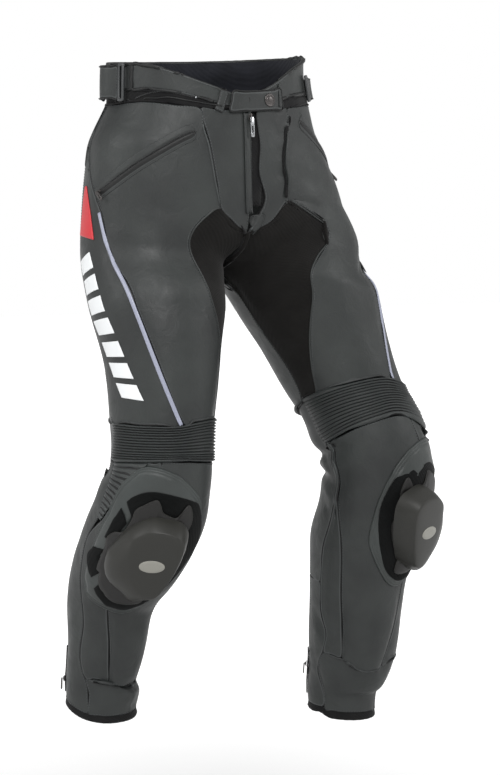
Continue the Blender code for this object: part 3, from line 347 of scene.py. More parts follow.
def evenly(points, step=0.0, count=0, closed=False):
    # even places along a smooth curve through the points
    base = np.array(points, float)
    if closed:
        ring = np.vstack([base[-1:], base, base[:2]])
    else:
        ring = np.vstack([2 * base[0] - base[1], base, 2 * base[-1] - base[-2]])
    a, b, c, d = ring[:-3, None], ring[1:-2, None], ring[2:-1, None], ring[3:, None]
    u = (np.arange(12) / 12)[None, :, None]
    bend, twist = 2 * a - 5 * b + 4 * c - d, 3 * b - a - 3 * c + d
    fine = 0.5 * (2 * b + (c - a) * u + bend * u ** 2 + twist * u ** 3)
    fine = np.vstack([fine.reshape(-1, base.shape[1]), ring[-2]])
    reach = np.concatenate([[0], np.cumsum(np.linalg.norm(np.diff(fine, axis=0), axis=1))])
    total = count or max(2, int(round(reach[-1] / step)) + 1)
    at = np.linspace(0, reach[-1], total)
    return np.stack([np.interp(at, reach, fine[:, k]) for k in range(fine.shape[1])], 1)


def mergedCopy(name):
    bm = bmesh.new()
    bm.from_mesh(cadNodes[name].data)
    bmesh.ops.remove_doubles(bm, verts=bm.verts, dist=0.00001)
    bmesh.ops.join_triangles(bm, faces=bm.faces, angle_face_threshold=math.radians(40),
                             angle_shape_threshold=math.radians(180), cmp_seam=False, cmp_sharp=False,
                             cmp_uvs=False, cmp_vcols=False, cmp_materials=False)
    return bm


def outerSkin(name, side, least=0.35):
    # the outer face alone of a wall, taken from a merged copy of its solid
    bm = mergedCopy(name)
    facing = {f for f in bm.faces if f.normal.dot(outward(f.calc_center_median(), side)) > least}
    groups, left = [], set(facing)
    while left:
        group, todo = set(), [left.pop()]
        while todo:
            face = todo.pop()
            group.add(face)
            for edge in face.edges:
                for other in edge.link_faces:
                    if other in left:
                        left.discard(other)
                        todo.append(other)
        groups.append(group)
    best = max(groups, key=lambda g: sum(f.calc_area() for f in g))
    bmesh.ops.delete(bm, geom=[f for f in bm.faces if f not in best], context="FACES")
    return bm


def linkMesh(name, bm, finish):
    mesh = bpy.data.meshes.new(name)
    bm.to_mesh(mesh)
    bm.free()
    mesh.materials.append(finishes[finish])
    item = bpy.data.objects.new(name, mesh)
    bpy.context.scene.collection.objects.link(item)
    mesh.shade_smooth()
    return item


def finishPiece(item, replaced=(), body=mainBody):
    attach(item, body)
    if replaced:
        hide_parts(*replaced)
    return item


def applied(item):
    # the modifiers' result becomes the mesh
    graph = bpy.context.evaluated_depsgraph_get()
    done = bpy.data.meshes.new_from_object(item.evaluated_get(graph))
    item.modifiers.clear()
    old, item.data = item.data, done
    bpy.data.meshes.remove(old)
    return item


def smoothThrough(item, levels, passes=3):
    # subdivides a cage so that the smooth face still passes through the cage's own corners
    mesh = item.data
    count = len(mesh.vertices)
    wanted = np.empty(count * 3)
    mesh.vertices.foreach_get("co", wanted)
    wanted = wanted.reshape(-1, 3)
    cage = wanted.copy()
    modifier = item.modifiers.new("smooth", "SUBSURF")
    modifier.levels = modifier.render_levels = levels
    modifier.boundary_smooth = "PRESERVE_CORNERS"
    for _ in range(passes):
        graph = bpy.context.evaluated_depsgraph_get()
        ready = item.evaluated_get(graph).data
        got = np.empty(len(ready.vertices) * 3)
        ready.vertices.foreach_get("co", got)
        cage += wanted - got.reshape(-1, 3)[:count]
        mesh.vertices.foreach_set("co", cage.ravel())
        mesh.update()
    return applied(item)


def meshPlaces(mesh, kind="co"):
    values = np.empty(len(mesh.vertices) * 3)
    mesh.vertices.foreach_get(kind, values)
    return values.reshape(-1, 3)


def borderLoops(mesh):
    # the open edges of a sheet, as rings of places
    bm = bmesh.new()
    bm.from_mesh(mesh)
    # a dictionary keeps the edges in order, so that every run is alike
    left, rings = dict.fromkeys(e for e in bm.edges if e.is_boundary), []
    while left:
        edge = next(iter(left))
        del left[edge]
        ring = [edge.verts[0], edge.verts[1]]
        while True:
            onward = [e for e in ring[-1].link_edges if e in left]
            if not onward:
                break
            del left[onward[0]]
            ring.append(onward[0].other_vert(ring[-1]))
        rings.append(np.array([v.co for v in ring]))
    bm.free()
    return rings


def treeOfPoints(points):
    tree = KDTree(len(points))
    for k, point in enumerate(points):
        tree.insert(point, k)
    tree.balance()
    return tree


threads = {"right": [], "left": [], "waist": []}  # each stitch: place, way along, way out
stitch = {"pitch": 0.0042, "length": 0.0031, "width": 0.0009, "height": 0.0007, "inset": 0.0026}


def sew(key, places, outs):
    # stitches along a line of places
    alongs = unit(np.gradient(places, axis=0))
    threads[key].extend(zip(places, alongs, outs))


def sewBorder(key, mesh, rings, inset):
    # a line of stitches inside the edge of a panel
    tree = BVHTree.FromPolygons([v.co for v in mesh.vertices], [p.vertices[:] for p in mesh.polygons])
    rim = treeOfPoints(np.vstack(rings))
    for ring in rings:
        path = evenly(ring, step=stitch["pitch"])
        alongs = unit(np.gradient(path, axis=0))
        outs = np.array([tree.find_nearest(Vector(p))[1] for p in path])
        inner = unit(np.cross(outs, alongs)) * inset
        near = [tree.find_nearest(Vector(p))[3] for p in path + inner]
        far = [tree.find_nearest(Vector(p))[3] for p in path - inner]
        if sum(near) > sum(far):
            inner = -inner
        for place, along in zip(path + inner, alongs):
            spot, out, _, _ = tree.find_nearest(Vector(place))
            if rim.find(spot)[2] > inset * 0.85:
                threads[key].append((np.array(spot), along, np.array(out)))


folds = []  # each: two ends, width, height, in metres, and the way out of the cloth there


def addFold(x1, y1, x2, y2, width, height):
    a, outA = atPixel(x1, y1)
    b, outB = atPixel(x2, y2)
    if a is not None and b is not None:
        out = np.array((outA + outB).normalized())
        folds.append((np.array(a), np.array(b), width * mm, height * mm, out))


def settleCloth(item, roll, softness, rollWidth=0.0026):
    # rolls the edges in, lays the folds, and gives the hide its slow unevenness
    mesh = item.data
    place, normal = meshPlaces(mesh), meshPlaces(mesh, "normal")
    rings = borderLoops(mesh)
    rim = treeOfPoints(np.vstack([evenly(ring, step=0.0015) for ring in rings]))
    away = np.array([rim.find(p)[2] for p in place])
    lift = -roll * np.clip(1 - away / rollWidth, 0, 1) ** 2
    for a, b, width, height, out in folds:
        along = b - a
        share = np.clip((place - a) @ along / (along @ along), 0, 1)
        gap = np.linalg.norm(place - (a + share[:, None] * along), axis=1)
        taper = np.sin(math.pi * np.clip(share, 0.02, 0.98)) ** 0.5
        lift += height * np.exp(-(gap / width) ** 2) * taper * np.clip(normal @ out * 2, 0, 1)
    if softness:
        waves = np.array([noise.noise(Vector(p) * 14.0) + 0.5 * noise.noise(Vector(p) * 34.0) for p in place])
        lift += softness * waves * np.clip(away / 0.02, 0, 1)
    place += normal * lift[:, None]
    mesh.vertices.foreach_set("co", place.ravel())
    # the distance from the edge, which the cowhide finishes paint as dark seam shade and a lighter edge highlight
    layer = mesh.attributes.new("paintedShadeGap", "FLOAT", "POINT")
    layer.data.foreach_set("value", away * 1000)
    mesh.update()
    return borderLoops(mesh)


dressed = {}


def addWall(item, thickness):
    wall = item.modifiers.new("wall", "SOLIDIFY")
    wall.thickness, wall.offset = thickness, -1.0


def clothPiece(node, side, finish, roll=0.0013, levels=2, insets=(6.0, 2.0), softness=0.0007,
               thickness=0.0016, thread="", inset=0.0026):
    bm = outerSkin(node, side)
    for width in insets:
        bmesh.ops.inset_region(bm, faces=bm.faces, thickness=width * mm, use_boundary=True,
                               use_even_offset=False)
    item = linkMesh(node + "_sewn", bm, finish)
    smoothThrough(item, levels)
    rings = settleCloth(item, roll, softness)
    if thread:
        sewBorder(thread, item.data, rings, inset)
    addWall(item, thickness)
    finishPiece(item, (node,))
    dressed[node] = item
    return item


def gridPiece(name, places, outs, finish, wall=0.0, replaced=(), cut=None, levels=0, shadeGap=9.0):
    # a sheet through a grid of places, with its face along the ways out
    rows, columns = places.shape[:2]
    bm = bmesh.new()
    bmesh.ops.create_grid(bm, x_segments=columns - 1, y_segments=rows - 1, size=0.5)
    # each corner's gap value sets the cowhide finishes' painted seam shade and painted edge highlight
    gap = bm.verts.layers.float.new("paintedShadeGap")
    shadeGaps = np.broadcast_to(shadeGap, (rows, columns))
    facing = 0.0
    spots = {v: (round((v.co.y + 0.5) * (rows - 1)), round((v.co.x + 0.5) * (columns - 1))) for v in bm.verts}
    for v, spot in spots.items():
        v.co, v[gap] = places[spot], shadeGaps[spot]
    bm.normal_update()
    for v, spot in spots.items():
        facing += v.normal.dot(Vector(outs[spot]))
    if facing < 0:
        bmesh.ops.reverse_faces(bm, faces=bm.faces)
    bmesh.ops.remove_doubles(bm, verts=bm.verts, dist=0.00002)
    item = linkMesh(name, bm, finish)
    if levels:
        smoothThrough(item, levels)
    if wall:
        addWall(item, wall)
    finishPiece(item, replaced)
    return item


def onTree(tree, path, blur=2):
    # the nearest places of the cloth, and the ways out of it, evened along the path
    found = [tree.find_nearest(Vector(p)) for p in path]
    places, outs = np.array([f[0] for f in found]), np.array([f[1] for f in found])
    for _ in range(blur):
        for rows in (places, outs):
            rows[1:-1] = (rows[:-2] + 2 * rows[1:-1] + rows[2:]) / 4
    return places, unit(outs)


def layStrip(name, places, outs, profile, finish, wall, **rest):
    # sweeps a section along a path; the section is a row of (across, height) in millimetres
    alongs = unit(np.gradient(places, axis=0))
    across = unit(np.cross(outs, alongs))
    table = np.array(profile) * mm
    grid = places[:, None] + across[:, None] * table[None, :, :1] + outs[:, None] * table[None, :, 1:]
    return gridPiece(name, grid, np.repeat(outs[:, None], len(profile), 1), finish, wall, **rest)


def layCord(name, places, radius, finish, closed=False):
    # a round cord sewn along a path
    data = bpy.data.curves.new(name, "CURVE")
    data.dimensions, data.use_fill_caps = "3D", True
    data.bevel_depth, data.bevel_resolution = radius, 2
    line = data.splines.new("POLY")
    line.points.add(len(places) - 1)
    line.points.foreach_set("co", np.column_stack([places, np.ones(len(places))]).ravel())
    line.use_cyclic_u = closed
    data.materials.append(finishes[finish])
    item = bpy.data.objects.new(name, data)
    bpy.context.scene.collection.objects.link(item)
    mesh = bpy.data.meshes.new_from_object(item.evaluated_get(bpy.context.evaluated_depsgraph_get()))
    bpy.data.objects.remove(item)
    item = bpy.data.objects.new(name, mesh)
    bpy.context.scene.collection.objects.link(item)
    mesh.shade_smooth()
    return finishPiece(item)


def repeated(name, shape, frames, finish):
    # one small shape at many places; each frame is a place, the way along and the way out
    shape.verts.ensure_lookup_table()
    local = np.array([v.co for v in shape.verts])
    faces = np.array([[v.index for v in f.verts] for f in shape.faces])
    shape.free()
    places = np.array([f[0] for f in frames])
    outs = unit(np.array([f[2] for f in frames]))
    alongs = np.array([f[1] for f in frames])
    alongs = unit(alongs - (alongs * outs).sum(1, keepdims=True) * outs)
    across = np.cross(outs, alongs)
    corners = (places[:, None] + local[None, :, 0:1] * alongs[:, None] + local[None, :, 1:2] * across[:, None]
               + local[None, :, 2:3] * outs[:, None])
    every = faces[None] + (np.arange(len(frames)) * len(local))[:, None, None]
    mesh = bpy.data.meshes.new(name)
    mesh.from_pydata(corners.reshape(-1, 3), [], every.reshape(-1, faces.shape[1]))
    mesh.materials.append(finishes[finish])
    item = bpy.data.objects.new(name, mesh)
    bpy.context.scene.collection.objects.link(item)
    mesh.shade_smooth()
    return finishPiece(item)


def bead(length, width, height):
    bm = bmesh.new()
    bmesh.ops.create_icosphere(bm, subdivisions=1, radius=0.5)
    bmesh.ops.scale(bm, vec=(length, width, height), verts=bm.verts)
    return bm


def softBox(size, radius):
    bm = bmesh.new()
    bmesh.ops.create_cube(bm, size=1.0)
    bmesh.ops.scale(bm, vec=size, verts=bm.verts)
    bmesh.ops.bevel(bm, geom=bm.edges, offset=radius, segments=2, profile=0.5, affect="EDGES", material=-1)
    return bm


def placedBox(bm, place, along, out):
    # turns a shape so that X runs along and Z out
    along, out = Vector(along), Vector(out).normalized()
    along = (along - out * along.dot(out)).normalized()
    turn = Matrix((along, out.cross(along), out)).transposed().to_4x4()
    bm.transform(Matrix.Translation(Vector(place)) @ turn)
    return bm


def addBoxes(name, boxes, finish):
    # several boxes with soft edges in one piece: size, edge radius, place, way along, way out
    whole = bmesh.new()
    for size, radius, place, along, out in boxes:
        part = placedBox(softBox(size, radius), place, along, out)
        mesh = bpy.data.meshes.new("part")
        part.to_mesh(mesh)
        part.free()
        whole.from_mesh(mesh)
        bpy.data.meshes.remove(mesh)
    return finishPiece(linkMesh(name, whole, finish))


def zipTeeth(name, places, outs, pitch, length, finish, lift=0.0):
    # a moulded coil: turns that lean one way and the other along the middle of the tape
    path = evenly(places, step=pitch)
    spots = np.array([np.interp(np.linspace(0, 1, len(path)), np.linspace(0, 1, len(outs)), outs[:, k])
                      for k in range(3)]).T
    alongs = unit(np.gradient(path, axis=0))
    across = np.cross(unit(spots), alongs)
    lean = np.where(np.arange(len(path)) % 2, 0.25, -0.25)[:, None]
    shift = np.where(np.arange(len(path)) % 2, 0.12, -0.12)[:, None] * length
    frames = list(zip(path + spots * lift + across * shift, across + alongs * lean, spots))
    return repeated(name, bead(length, pitch * 0.8, pitch * 0.9), frames, finish)


def hardPiece(node, finish, body, edge=0.0005):
    # a metal or moulded piece: its solid's shape with the edges broken
    bm = mergedCopy(node)
    bmesh.ops.dissolve_limit(bm, angle_limit=math.radians(3), verts=bm.verts, edges=bm.edges)
    sharp = [e for e in bm.edges if len(e.link_faces) == 2 and e.calc_face_angle() > math.radians(35)]
    bmesh.ops.bevel(bm, geom=sharp, offset=edge, segments=2, profile=0.5, affect="EDGES", material=-1,
                    clamp_overlap=True)
    return finishPiece(linkMesh(node + "_finished", bm, finish), (node,), body)


def nodePath(node, count):
    # the middle line of a long narrow solid
    corners = np.array([v.co for v in cadNodes[node].data.vertices])
    corners = np.unique(np.round(corners, 6), axis=0)
    spread = corners - corners.mean(0)
    along = np.linalg.svd(spread, full_matrices=False)[2][0]
    at = spread @ along
    if along[2] > 0:
        at = -at
    edges = np.linspace(at.min(), at.max(), count + 1)
    rows = [corners[(at >= a - 1e-6) & (at <= b + 1e-6)] for a, b in zip(edges, edges[1:])]
    return np.array([r.mean(0) for r in rows if len(r)])


print("tools ready")


# folds: two ends in the photograph's pixels, half width and height in millimetres
creases = {
    "hips": ((305, 165, 330, 172, 5, 1.6), (304, 178, 328, 186, 6, -1.6), (303, 192, 322, 204, 5, 1.3),
             (222, 150, 240, 178, 7, -1.2), (225, 190, 244, 212, 6, -1.4), (268, 150, 290, 138, 6, 1.2),
             (272, 178, 292, 168, 7, -1.3), (268, 205, 288, 198, 5, 1.2), (120, 130, 160, 128, 9, -1.5),
             (110, 148, 150, 146, 8, 1.2), (150, 205, 185, 215, 10, -1.5), (120, 230, 172, 246, 12, 1.6)),
    "groin": ((228, 250, 244, 286, 6, -2.2), (236, 243, 250, 262, 5, 1.5), (232, 285, 250, 300, 6, -3.0),
              (240, 290, 262, 310, 5, 2.0), (262, 240, 290, 262, 8, -1.6), (262, 262, 296, 282, 8, 1.8),
              (268, 290, 300, 300, 7, -1.8), (272, 310, 300, 322, 7, 1.6), (280, 330, 306, 340, 6, -1.5)),
    "thighs": ((128, 270, 180, 282, 12, 1.4), (138, 300, 190, 306, 12, -1.5), (150, 335, 200, 330, 11, 1.4),
               (160, 362, 214, 356, 10, -1.6), (168, 385, 216, 378, 9, 1.5), (176, 404, 212, 398, 7, -1.5),
               (310, 250, 342, 262, 9, 1.3), (312, 282, 352, 290, 10, -1.5), (318, 312, 356, 318, 9, 1.4),
               (316, 340, 362, 346, 9, -1.6), (312, 366, 364, 368, 8, 1.5), (310, 384, 352, 380, 6, -1.4),
               (320, 396, 360, 384, 5, 1.2)),
    "knees": ((318, 448, 328, 462, 4, -2.4), (324, 460, 330, 474, 4, 2.6), (324, 474, 334, 486, 4, -2.6),
              (325, 488, 333, 500, 4, 2.2), (324, 502, 329, 516, 5, -2.4), (318, 520, 330, 506, 4, 2.0),
              (338, 452, 392, 440, 8, 1.2), (340, 470, 380, 462, 8, -1.2), (176, 466, 206, 484, 6, 1.3),
              (178, 474, 200, 492, 5, -1.2)),
    "shins": ((312, 600, 330, 640, 5, -1.8), (313, 620, 326, 650, 4, 1.8), (311, 640, 318, 668, 4, -2.0),
              (336, 664, 382, 668, 3, -2.6), (334, 673, 380, 676, 3, 2.0), (332, 681, 376, 684, 3, -2.0),
              (330, 690, 372, 694, 4, 1.4), (324, 654, 338, 668, 4, -1.8), (71, 602, 76, 640, 6, 1.2),
              (90, 690, 130, 690, 5, 1.4), (92, 702, 134, 704, 5, -1.5), (124, 690, 135, 697, 3, 2.6),
              (122, 700, 134, 706, 3, -2.4), (66, 690, 84, 700, 5, -1.2), (112, 683, 134, 682, 2.5, -2.6),
              (112, 677, 133, 676, 4, 1.8)),
}
for group in creases.values():
    for crease in group:
        addFold(*crease)
print("creases laid:", len(folds))


# panels: flat is the cut's width and length in metres, area its flat area in square metres
panels = {
    "thigh_front": ("leather", True, {"flat": (0.24, 0.47), "area": 0.073}),
    "side_panel": ("leather", False, {"flat": (0.17, 0.48), "area": 0.050}),
    "seat_and_thigh_back": ("leather", True, {"flat": (0.36, 0.52), "area": 0.12}),
    "inner_stretch": ("stretch", False, {"flat": (0.13, 0.32), "area": 0.024}),
    "fly_panel": ("leather", True, {"flat": (0.08, 0.19), "area": 0.0095}),
    "knee_back": ("leather", False, {"flat": (0.24, 0.30), "area": 0.054}),
    "shin_strip": ("leather", False, {"flat": (0.05, 0.40), "area": 0.0098}),
    "knee_and_guard": ("leather", True, {"flat": (0.17, 0.41), "area": 0.048}),
    "shin_outer": ("leather", False, {"flat": (0.11, 0.40), "area": 0.025}),
    "calf": ("leather", True, {"flat": (0.12, 0.42), "area": 0.029}),
    "calf_back": ("leather", False, {"flat": (0.17, 0.21), "area": 0.032}),
    "cuff_front": ("leather", True, {"flat": (0.15, 0.078), "area": 0.0089}),
}
for side in sides:
    for base, (finish, sewn, cut) in panels.items():
        clothPiece(base + "_" + side, side, finish, thread=side if sewn else "")
print("panels sewn:", len(panels) * 2)


# pleats: a band above the knee and its tail, ridge by ridge
# the three gap values go to the pleats' ridges, slopes and hollows: plain leather, painted highlight, painted shade
pleats = {"levels": 2, "wall": 0.0012, "deepen": 1.6, "shadeGaps": (4.2, 2.2, 0.7),
          "cuts": {"knee_pleats": {"flat": (0.30, 0.115), "area": 0.031},
                   "pleat_tail": {"flat": (0.06, 0.13), "area": 0.0060}}}


def curving(bm):
    # how far the cloth's neighbours stand out from each corner: below zero on a ridge
    return [sum((e.other_vert(v).co - v.co).dot(v.normal) for e in v.link_edges) / len(v.link_edges)
            for v in bm.verts]


def deepenPleats(bm):
    # gathers each pleat deeper than its solid; its sewn edges stay where they are
    bm.normal_update()
    for v, bend in zip(list(bm.verts), curving(bm)):
        if not v.is_boundary:
            v.co -= v.normal * bend * pleats["deepen"]
    bm.normal_update()


def shadeHollows(mesh):
    # painted shade: the hollows between ridges get low gap values, so the cowhide finish paints its dark seam shade
    # there and its lighter painted edge highlight on the slopes beside them
    bm = bmesh.new()
    bm.from_mesh(mesh)
    bm.normal_update()
    bends = np.array(curving(bm))
    bm.free()
    values = np.interp(bends, np.percentile(bends, (12, 50, 88)), pleats["shadeGaps"])
    mesh.attributes.new("paintedShadeGap", "FLOAT", "POINT").data.foreach_set("value", values)


for side in sides:
    for base, cut in pleats["cuts"].items():
        node = base + "_" + side
        bm = outerSkin(node, side, 0.05)
        deepenPleats(bm)
        item = linkMesh(node + "_folded", bm, "pleatLeather")
        smoothThrough(item, pleats["levels"], 5)
        shadeHollows(item.data)
        addWall(item, pleats["wall"])
        finishPiece(item, (node,))
        dressed[node] = item
print("pleats folded")


# waist: bands, the elastic strip under them, the lining inside, straps and tab
waist = {
    "waistband_right": {"finish": "leather", "flat": (0.045, 0.21), "area": 0.0060, "wall": 0.0028},
    "waistband_left": {"finish": "leather", "flat": (0.06, 0.22), "area": 0.0095, "wall": 0.0028},
    "waistband_back": {"finish": "leather", "flat": (0.06, 0.52), "area": 0.026, "wall": 0.0028},
    "waist_strip": {"finish": "webbing", "flat": (0.03, 0.96), "area": 0.019, "wall": 0.0018},
    "closure_tab": {"finish": "leather", "flat": (0.032, 0.115), "area": 0.0034, "wall": 0.0014},
    "adjuster_strap_right": {"finish": "leather", "flat": (0.05, 0.065), "wall": 0.0016},
    "adjuster_strap_left": {"finish": "leather", "flat": (0.036, 0.065), "wall": 0.0016},
    "belt_loop": {"finish": "leather", "flat": (0.013, 0.035), "wall": 0.0012},
}
for node, facts in waist.items():
    small = node in ("belt_loop", "closure_tab") or node.startswith("adjuster")
    clothPiece(node, "left" if "left" in node or node == "closure_tab" else "right", facts["finish"],
               roll=0.0005 if small else 0.0009, insets=(1.6,) if small else (2.6, 1.0),
               softness=0.0 if small else 0.0004,
               thickness=facts["wall"], thread="" if node == "waist_strip" else "waist",
               inset=0.0022 if small else 0.0032)
item = linkMesh("waist_lining_sewn", mergedCopy("waist_lining"), "lining")
finishPiece(item, ("waist_lining",))
clothTree = treeOf(dressed.values())
print("waist sewn")


def pixelPath(pixels, step, lift=0.0, tree=None):
    # a line that the photograph shows, laid on the cloth
    spots = [atPixel(x, y, tree or clothTree)[0] for x, y in pixels]
    places, outs = onTree(tree or clothTree, evenly([s for s in spots if s is not None], step=step))
    return places + outs * lift, outs


def pixelPatch(name, first, second, steps, finish, lift, wall, crown=0.0, cut=None, thread="", tree=None):
    # a flat piece between two lines of the photograph, laid on the cloth
    a, b = evenly(first, count=steps[0] + 1), evenly(second, count=steps[0] + 1)
    shape = (steps[0] + 1, steps[1] + 1)
    depth, rays, outs = np.full(shape, np.nan), np.zeros(shape + (3,)), np.zeros(shape + (3,))
    for i in range(shape[0]):
        for j in range(shape[1]):
            ray = pixelRay(*(a[i] + (b[i] - a[i]) * j / steps[1]))
            spot, out, _, reach = (tree or clothTree).ray_cast(Vector(camera["place"]), ray)
            rays[i, j] = ray
            if spot is not None:
                depth[i, j], outs[i, j] = reach, out
    for i in range(shape[0]):  # a ray that slips through a gap takes its neighbours' depth
        usual = np.nanmedian(depth[max(0, i - 2):i + 3])
        far = ~(abs(depth[i] - usual) < 0.012)
        depth[i, far], outs[i, far] = usual, outs[i, ~far].mean(0) if (~far).any() else -rays[i, 0]
    places = np.array(camera["place"]) + rays * depth[:, :, None]
    for _ in range(3):
        for rows in (places, outs):
            rows[1:-1] = (rows[:-2] + 2 * rows[1:-1] + rows[2:]) / 4
    outs = unit(outs)
    rise = np.minimum(1, np.minimum(np.arange(steps[1] + 1), np.arange(steps[1], -1, -1)))
    places = places + outs * (lift + crown * rise[None, :, None])
    item = gridPiece(name, places, outs, finish, wall, cut=cut, levels=1)
    if thread:
        sewBorder(thread, item.data, borderLoops(item.data), 0.0016)
    return item


# fasteners at the waist; half sections are rows of (radius, height) in millimetres, lines are pixels
snap = {"profile": ((9.9, 0.0), (9.9, 0.9), (9.3, 1.5), (8.1, 1.7), (7.5, 1.2), (6.9, 1.1), (6.3, 2.0),
                    (4.0, 2.7), (0.0, 3.0))}
stripZip = {
    "coil": ((136, 98), (150, 93), (165, 91.5), (180, 94), (195, 97)), "pitch": 0.0017, "length": 0.0034,
    "cord": ((134, 102), (150, 98), (168, 97), (186, 100), (204, 103), (222, 106)), "cordRadius": 0.0011,
    "rivet": ((196, 97), (197, 97.5)), "rivetProfile": ((1.8, 0.0), (1.8, 0.5), (1.0, 1.1), (0.0, 1.3)),
}
thinLoop = {"inner": ((278.2, 84), (278.6, 95), (279, 107)), "outer": ((281.4, 84), (281.8, 95), (282.2, 107)),
            "steps": (10, 2), "lift": 0.0012, "wall": 0.0012, "crown": 0.0004}


def turnedPiece(name, place, out, profile, finish, steps=28, replaced=()):
    # a turned part: its half section spun about the way out
    bm = bmesh.new()
    last = None
    for radius, height in profile:
        corner = bm.verts.new((radius * mm, 0.0, height * mm))
        if last:
            bm.edges.new((last, corner))
        last = corner
    bmesh.ops.spin(bm, geom=bm.verts[:] + bm.edges[:], cent=(0, 0, 0), axis=(0, 0, 1), angle=math.tau,
                   steps=steps)
    bmesh.ops.remove_doubles(bm, verts=bm.verts, dist=0.00002)
    bmesh.ops.holes_fill(bm, edges=bm.edges, sides=0)
    bmesh.ops.recalc_face_normals(bm, faces=bm.faces)
    placedBox(bm, place, Vector((0, 0, 1)) if abs(out[2]) < 0.9 else Vector((1, 0, 0)), out)
    return finishPiece(linkMesh(name, bm, finish), replaced)


low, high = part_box("snap_button")
snapPlace = (np.array(low) + np.array(high)) / 2
tabTree = treeOf([dressed["closure_tab"]])
spot, out, _, _ = tabTree.find_nearest(Vector(snapPlace))
turnedPiece("snap_button_turned", spot, out, snap["profile"], "gunmetal", replaced=("snap_button",))
for side in sides:
    hardPiece("adjuster_ring_" + side, "buckle", mainBody, 0.0012)

places, outs = pixelPath(stripZip["coil"], 0.002, 0.0008)
zipTeeth("strip_coil", places, outs, stripZip["pitch"], stripZip["length"], "coil")
places, outs = pixelPath(stripZip["cord"], 0.003, 0.0005)
layCord("strip_cord", places, stripZip["cordRadius"], "leather")
places, outs = pixelPath(stripZip["rivet"], 0.001)
turnedPiece("strip_rivet", places[0] + outs[0] * 0.0006, outs[0], stripZip["rivetProfile"], "steel", 14)
pixelPatch("thin_belt_loop", thinLoop["inner"], thinLoop["outer"], thinLoop["steps"], "leather",
           thinLoop["lift"], thinLoop["wall"], thinLoop["crown"])
print("waist fasteners ready")


# fly: facing strip, tape with its teeth, slider and pull, and the tack that ends it
fly = {
    "facing": (((243.2, 112), (244.2, 150), (245.0, 190), (246.0, 214)),
               ((250.0, 112), (250.6, 150), (251.4, 190), (252.0, 213))), "facingCut": {"flat": (0.0105, 0.158)},
    "tack": (((247.0, 215.5), (252.0, 234.5)), ((265.0, 213.5), (262.0, 223.5))),
    "tapeTop": -0.048, "tapeFoot": -0.186, "tapeEdges": (-0.016, 0.022), "tapeMiddle": 0.004,
    "tapeWall": 0.0011, "tapeWave": 0.002, "tapeCut": {"flat": (0.040, 0.142)},
    "teethPitch": 0.0017, "teethLength": 0.0046,
    # each plate of the slider: how far it stands out, its size
    "slider": (("base", 0.0016, (0.0108, 0.0072, 0.0018)), ("top", 0.0044, (0.0100, 0.0062, 0.0014)),
               ("bridge", 0.0058, (0.0066, 0.0022, 0.0018))),
}
forward = (0.0, -1.0, 0.0)
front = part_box("fly_zip")[0][1]
tapeTree = treeOf([cadNodes["fly_zip"]])
drops = np.linspace(fly["tapeTop"], fly["tapeFoot"], 16)
middle = [tapeTree.find_nearest(Vector((fly["tapeMiddle"], front - 0.02, z)))[0] for z in drops]
rows = []
for across in np.linspace(*fly["tapeEdges"], 7):
    line = [tapeTree.ray_cast(Vector((across, -0.3, z)), Vector((0, 1, 0)))[0] for z in drops]
    rows.append([s if s is not None else Vector((across, middle[k].y, drops[k])) for k, s in enumerate(line)])
grid = np.array(rows).transpose(1, 0, 2)
# the tape keeps near its usual depth, also where the slider stands out of it
depth = np.interp(drops, drops[3:][::-1], np.median(grid[3:, :, 1], axis=1)[::-1])[:, None]
grid[:, :, 1] = np.clip(grid[:, :, 1], depth - fly["tapeWave"], depth + fly["tapeWave"])
woven = gridPiece("fly_tape_woven", grid, np.tile(forward, grid.shape[:2] + (1,)), "webbing", fly["tapeWall"],
                  replaced=("fly_zip",), cut=fly["tapeCut"])
places = np.array([grid[k].mean(0) for k in range(len(drops))])
outs = np.tile(forward, (len(places), 1))
zipTeeth("fly_teeth", places, outs, fly["teethPitch"], fly["teethLength"], "coil", 0.0006)
hingeTop = nodePath("fly_pull", 8)[0]
tapeDepth = np.interp(-hingeTop[2] - 0.002, -drops, places[:, 1])
for plate, stand, size in fly["slider"]:
    spot = np.array((hingeTop[0], tapeDepth - stand, hingeTop[2] + 0.001))
    addBoxes("fly_slider_" + plate, [(size, 0.0005, spot, (0, 0, -1), forward)], "gunmetal")
hardPiece("fly_pull", "steel", "fly_pull", 0.0004)
flyTree = treeOf([dressed["fly_panel_left"], dressed["fly_panel_right"], woven])
pixelPatch("fly_facing", fly["facing"][0], fly["facing"][1], (24, 4), "leather", 0.0022, 0.0012, 0.0007,
           fly["facingCut"], "waist", flyTree)
pixelPatch("fly_tack", fly["tack"][0], fly["tack"][1], (8, 5), "leather", 0.0026, 0.0012, 0.0004, None, "waist",
           flyTree)
print("fly ready")


# seam allowances: the dark turnings behind every panel's edge, one strip between two corners
allowance = {"section": ((-2.4, 0.0), (0.0, 0.0), (2.4, 0.0)), "wall": 0.0006, "behind": 0.0042,
             "step": 0.006, "corner": 0.82, "least": 6}
for base in panels:
    for side in sides:
        panel, runs = dressed[base + "_" + side], []
        for ring in borderLoops(panel.data):
            path = evenly(np.vstack([ring, ring[:1]]), step=allowance["step"])
            ways = unit(np.diff(path, axis=0))
            bends = [k + 1 for k in range(len(ways) - 1) if ways[k].dot(ways[k + 1]) < allowance["corner"]]
            runs += [path[a + 1:b] for a, b in zip([-1] + bends, bends + [len(path)])
                     if b - a > allowance["least"]]
        for k, run in enumerate(runs):
            places, outs = onTree(treeOf([panel]), run, 1)
            layStrip("turning_%s_%s_%d" % (base, side, k), places - outs * allowance["behind"], outs,
                     allowance["section"], "webbing", allowance["wall"])
print("turnings ready")


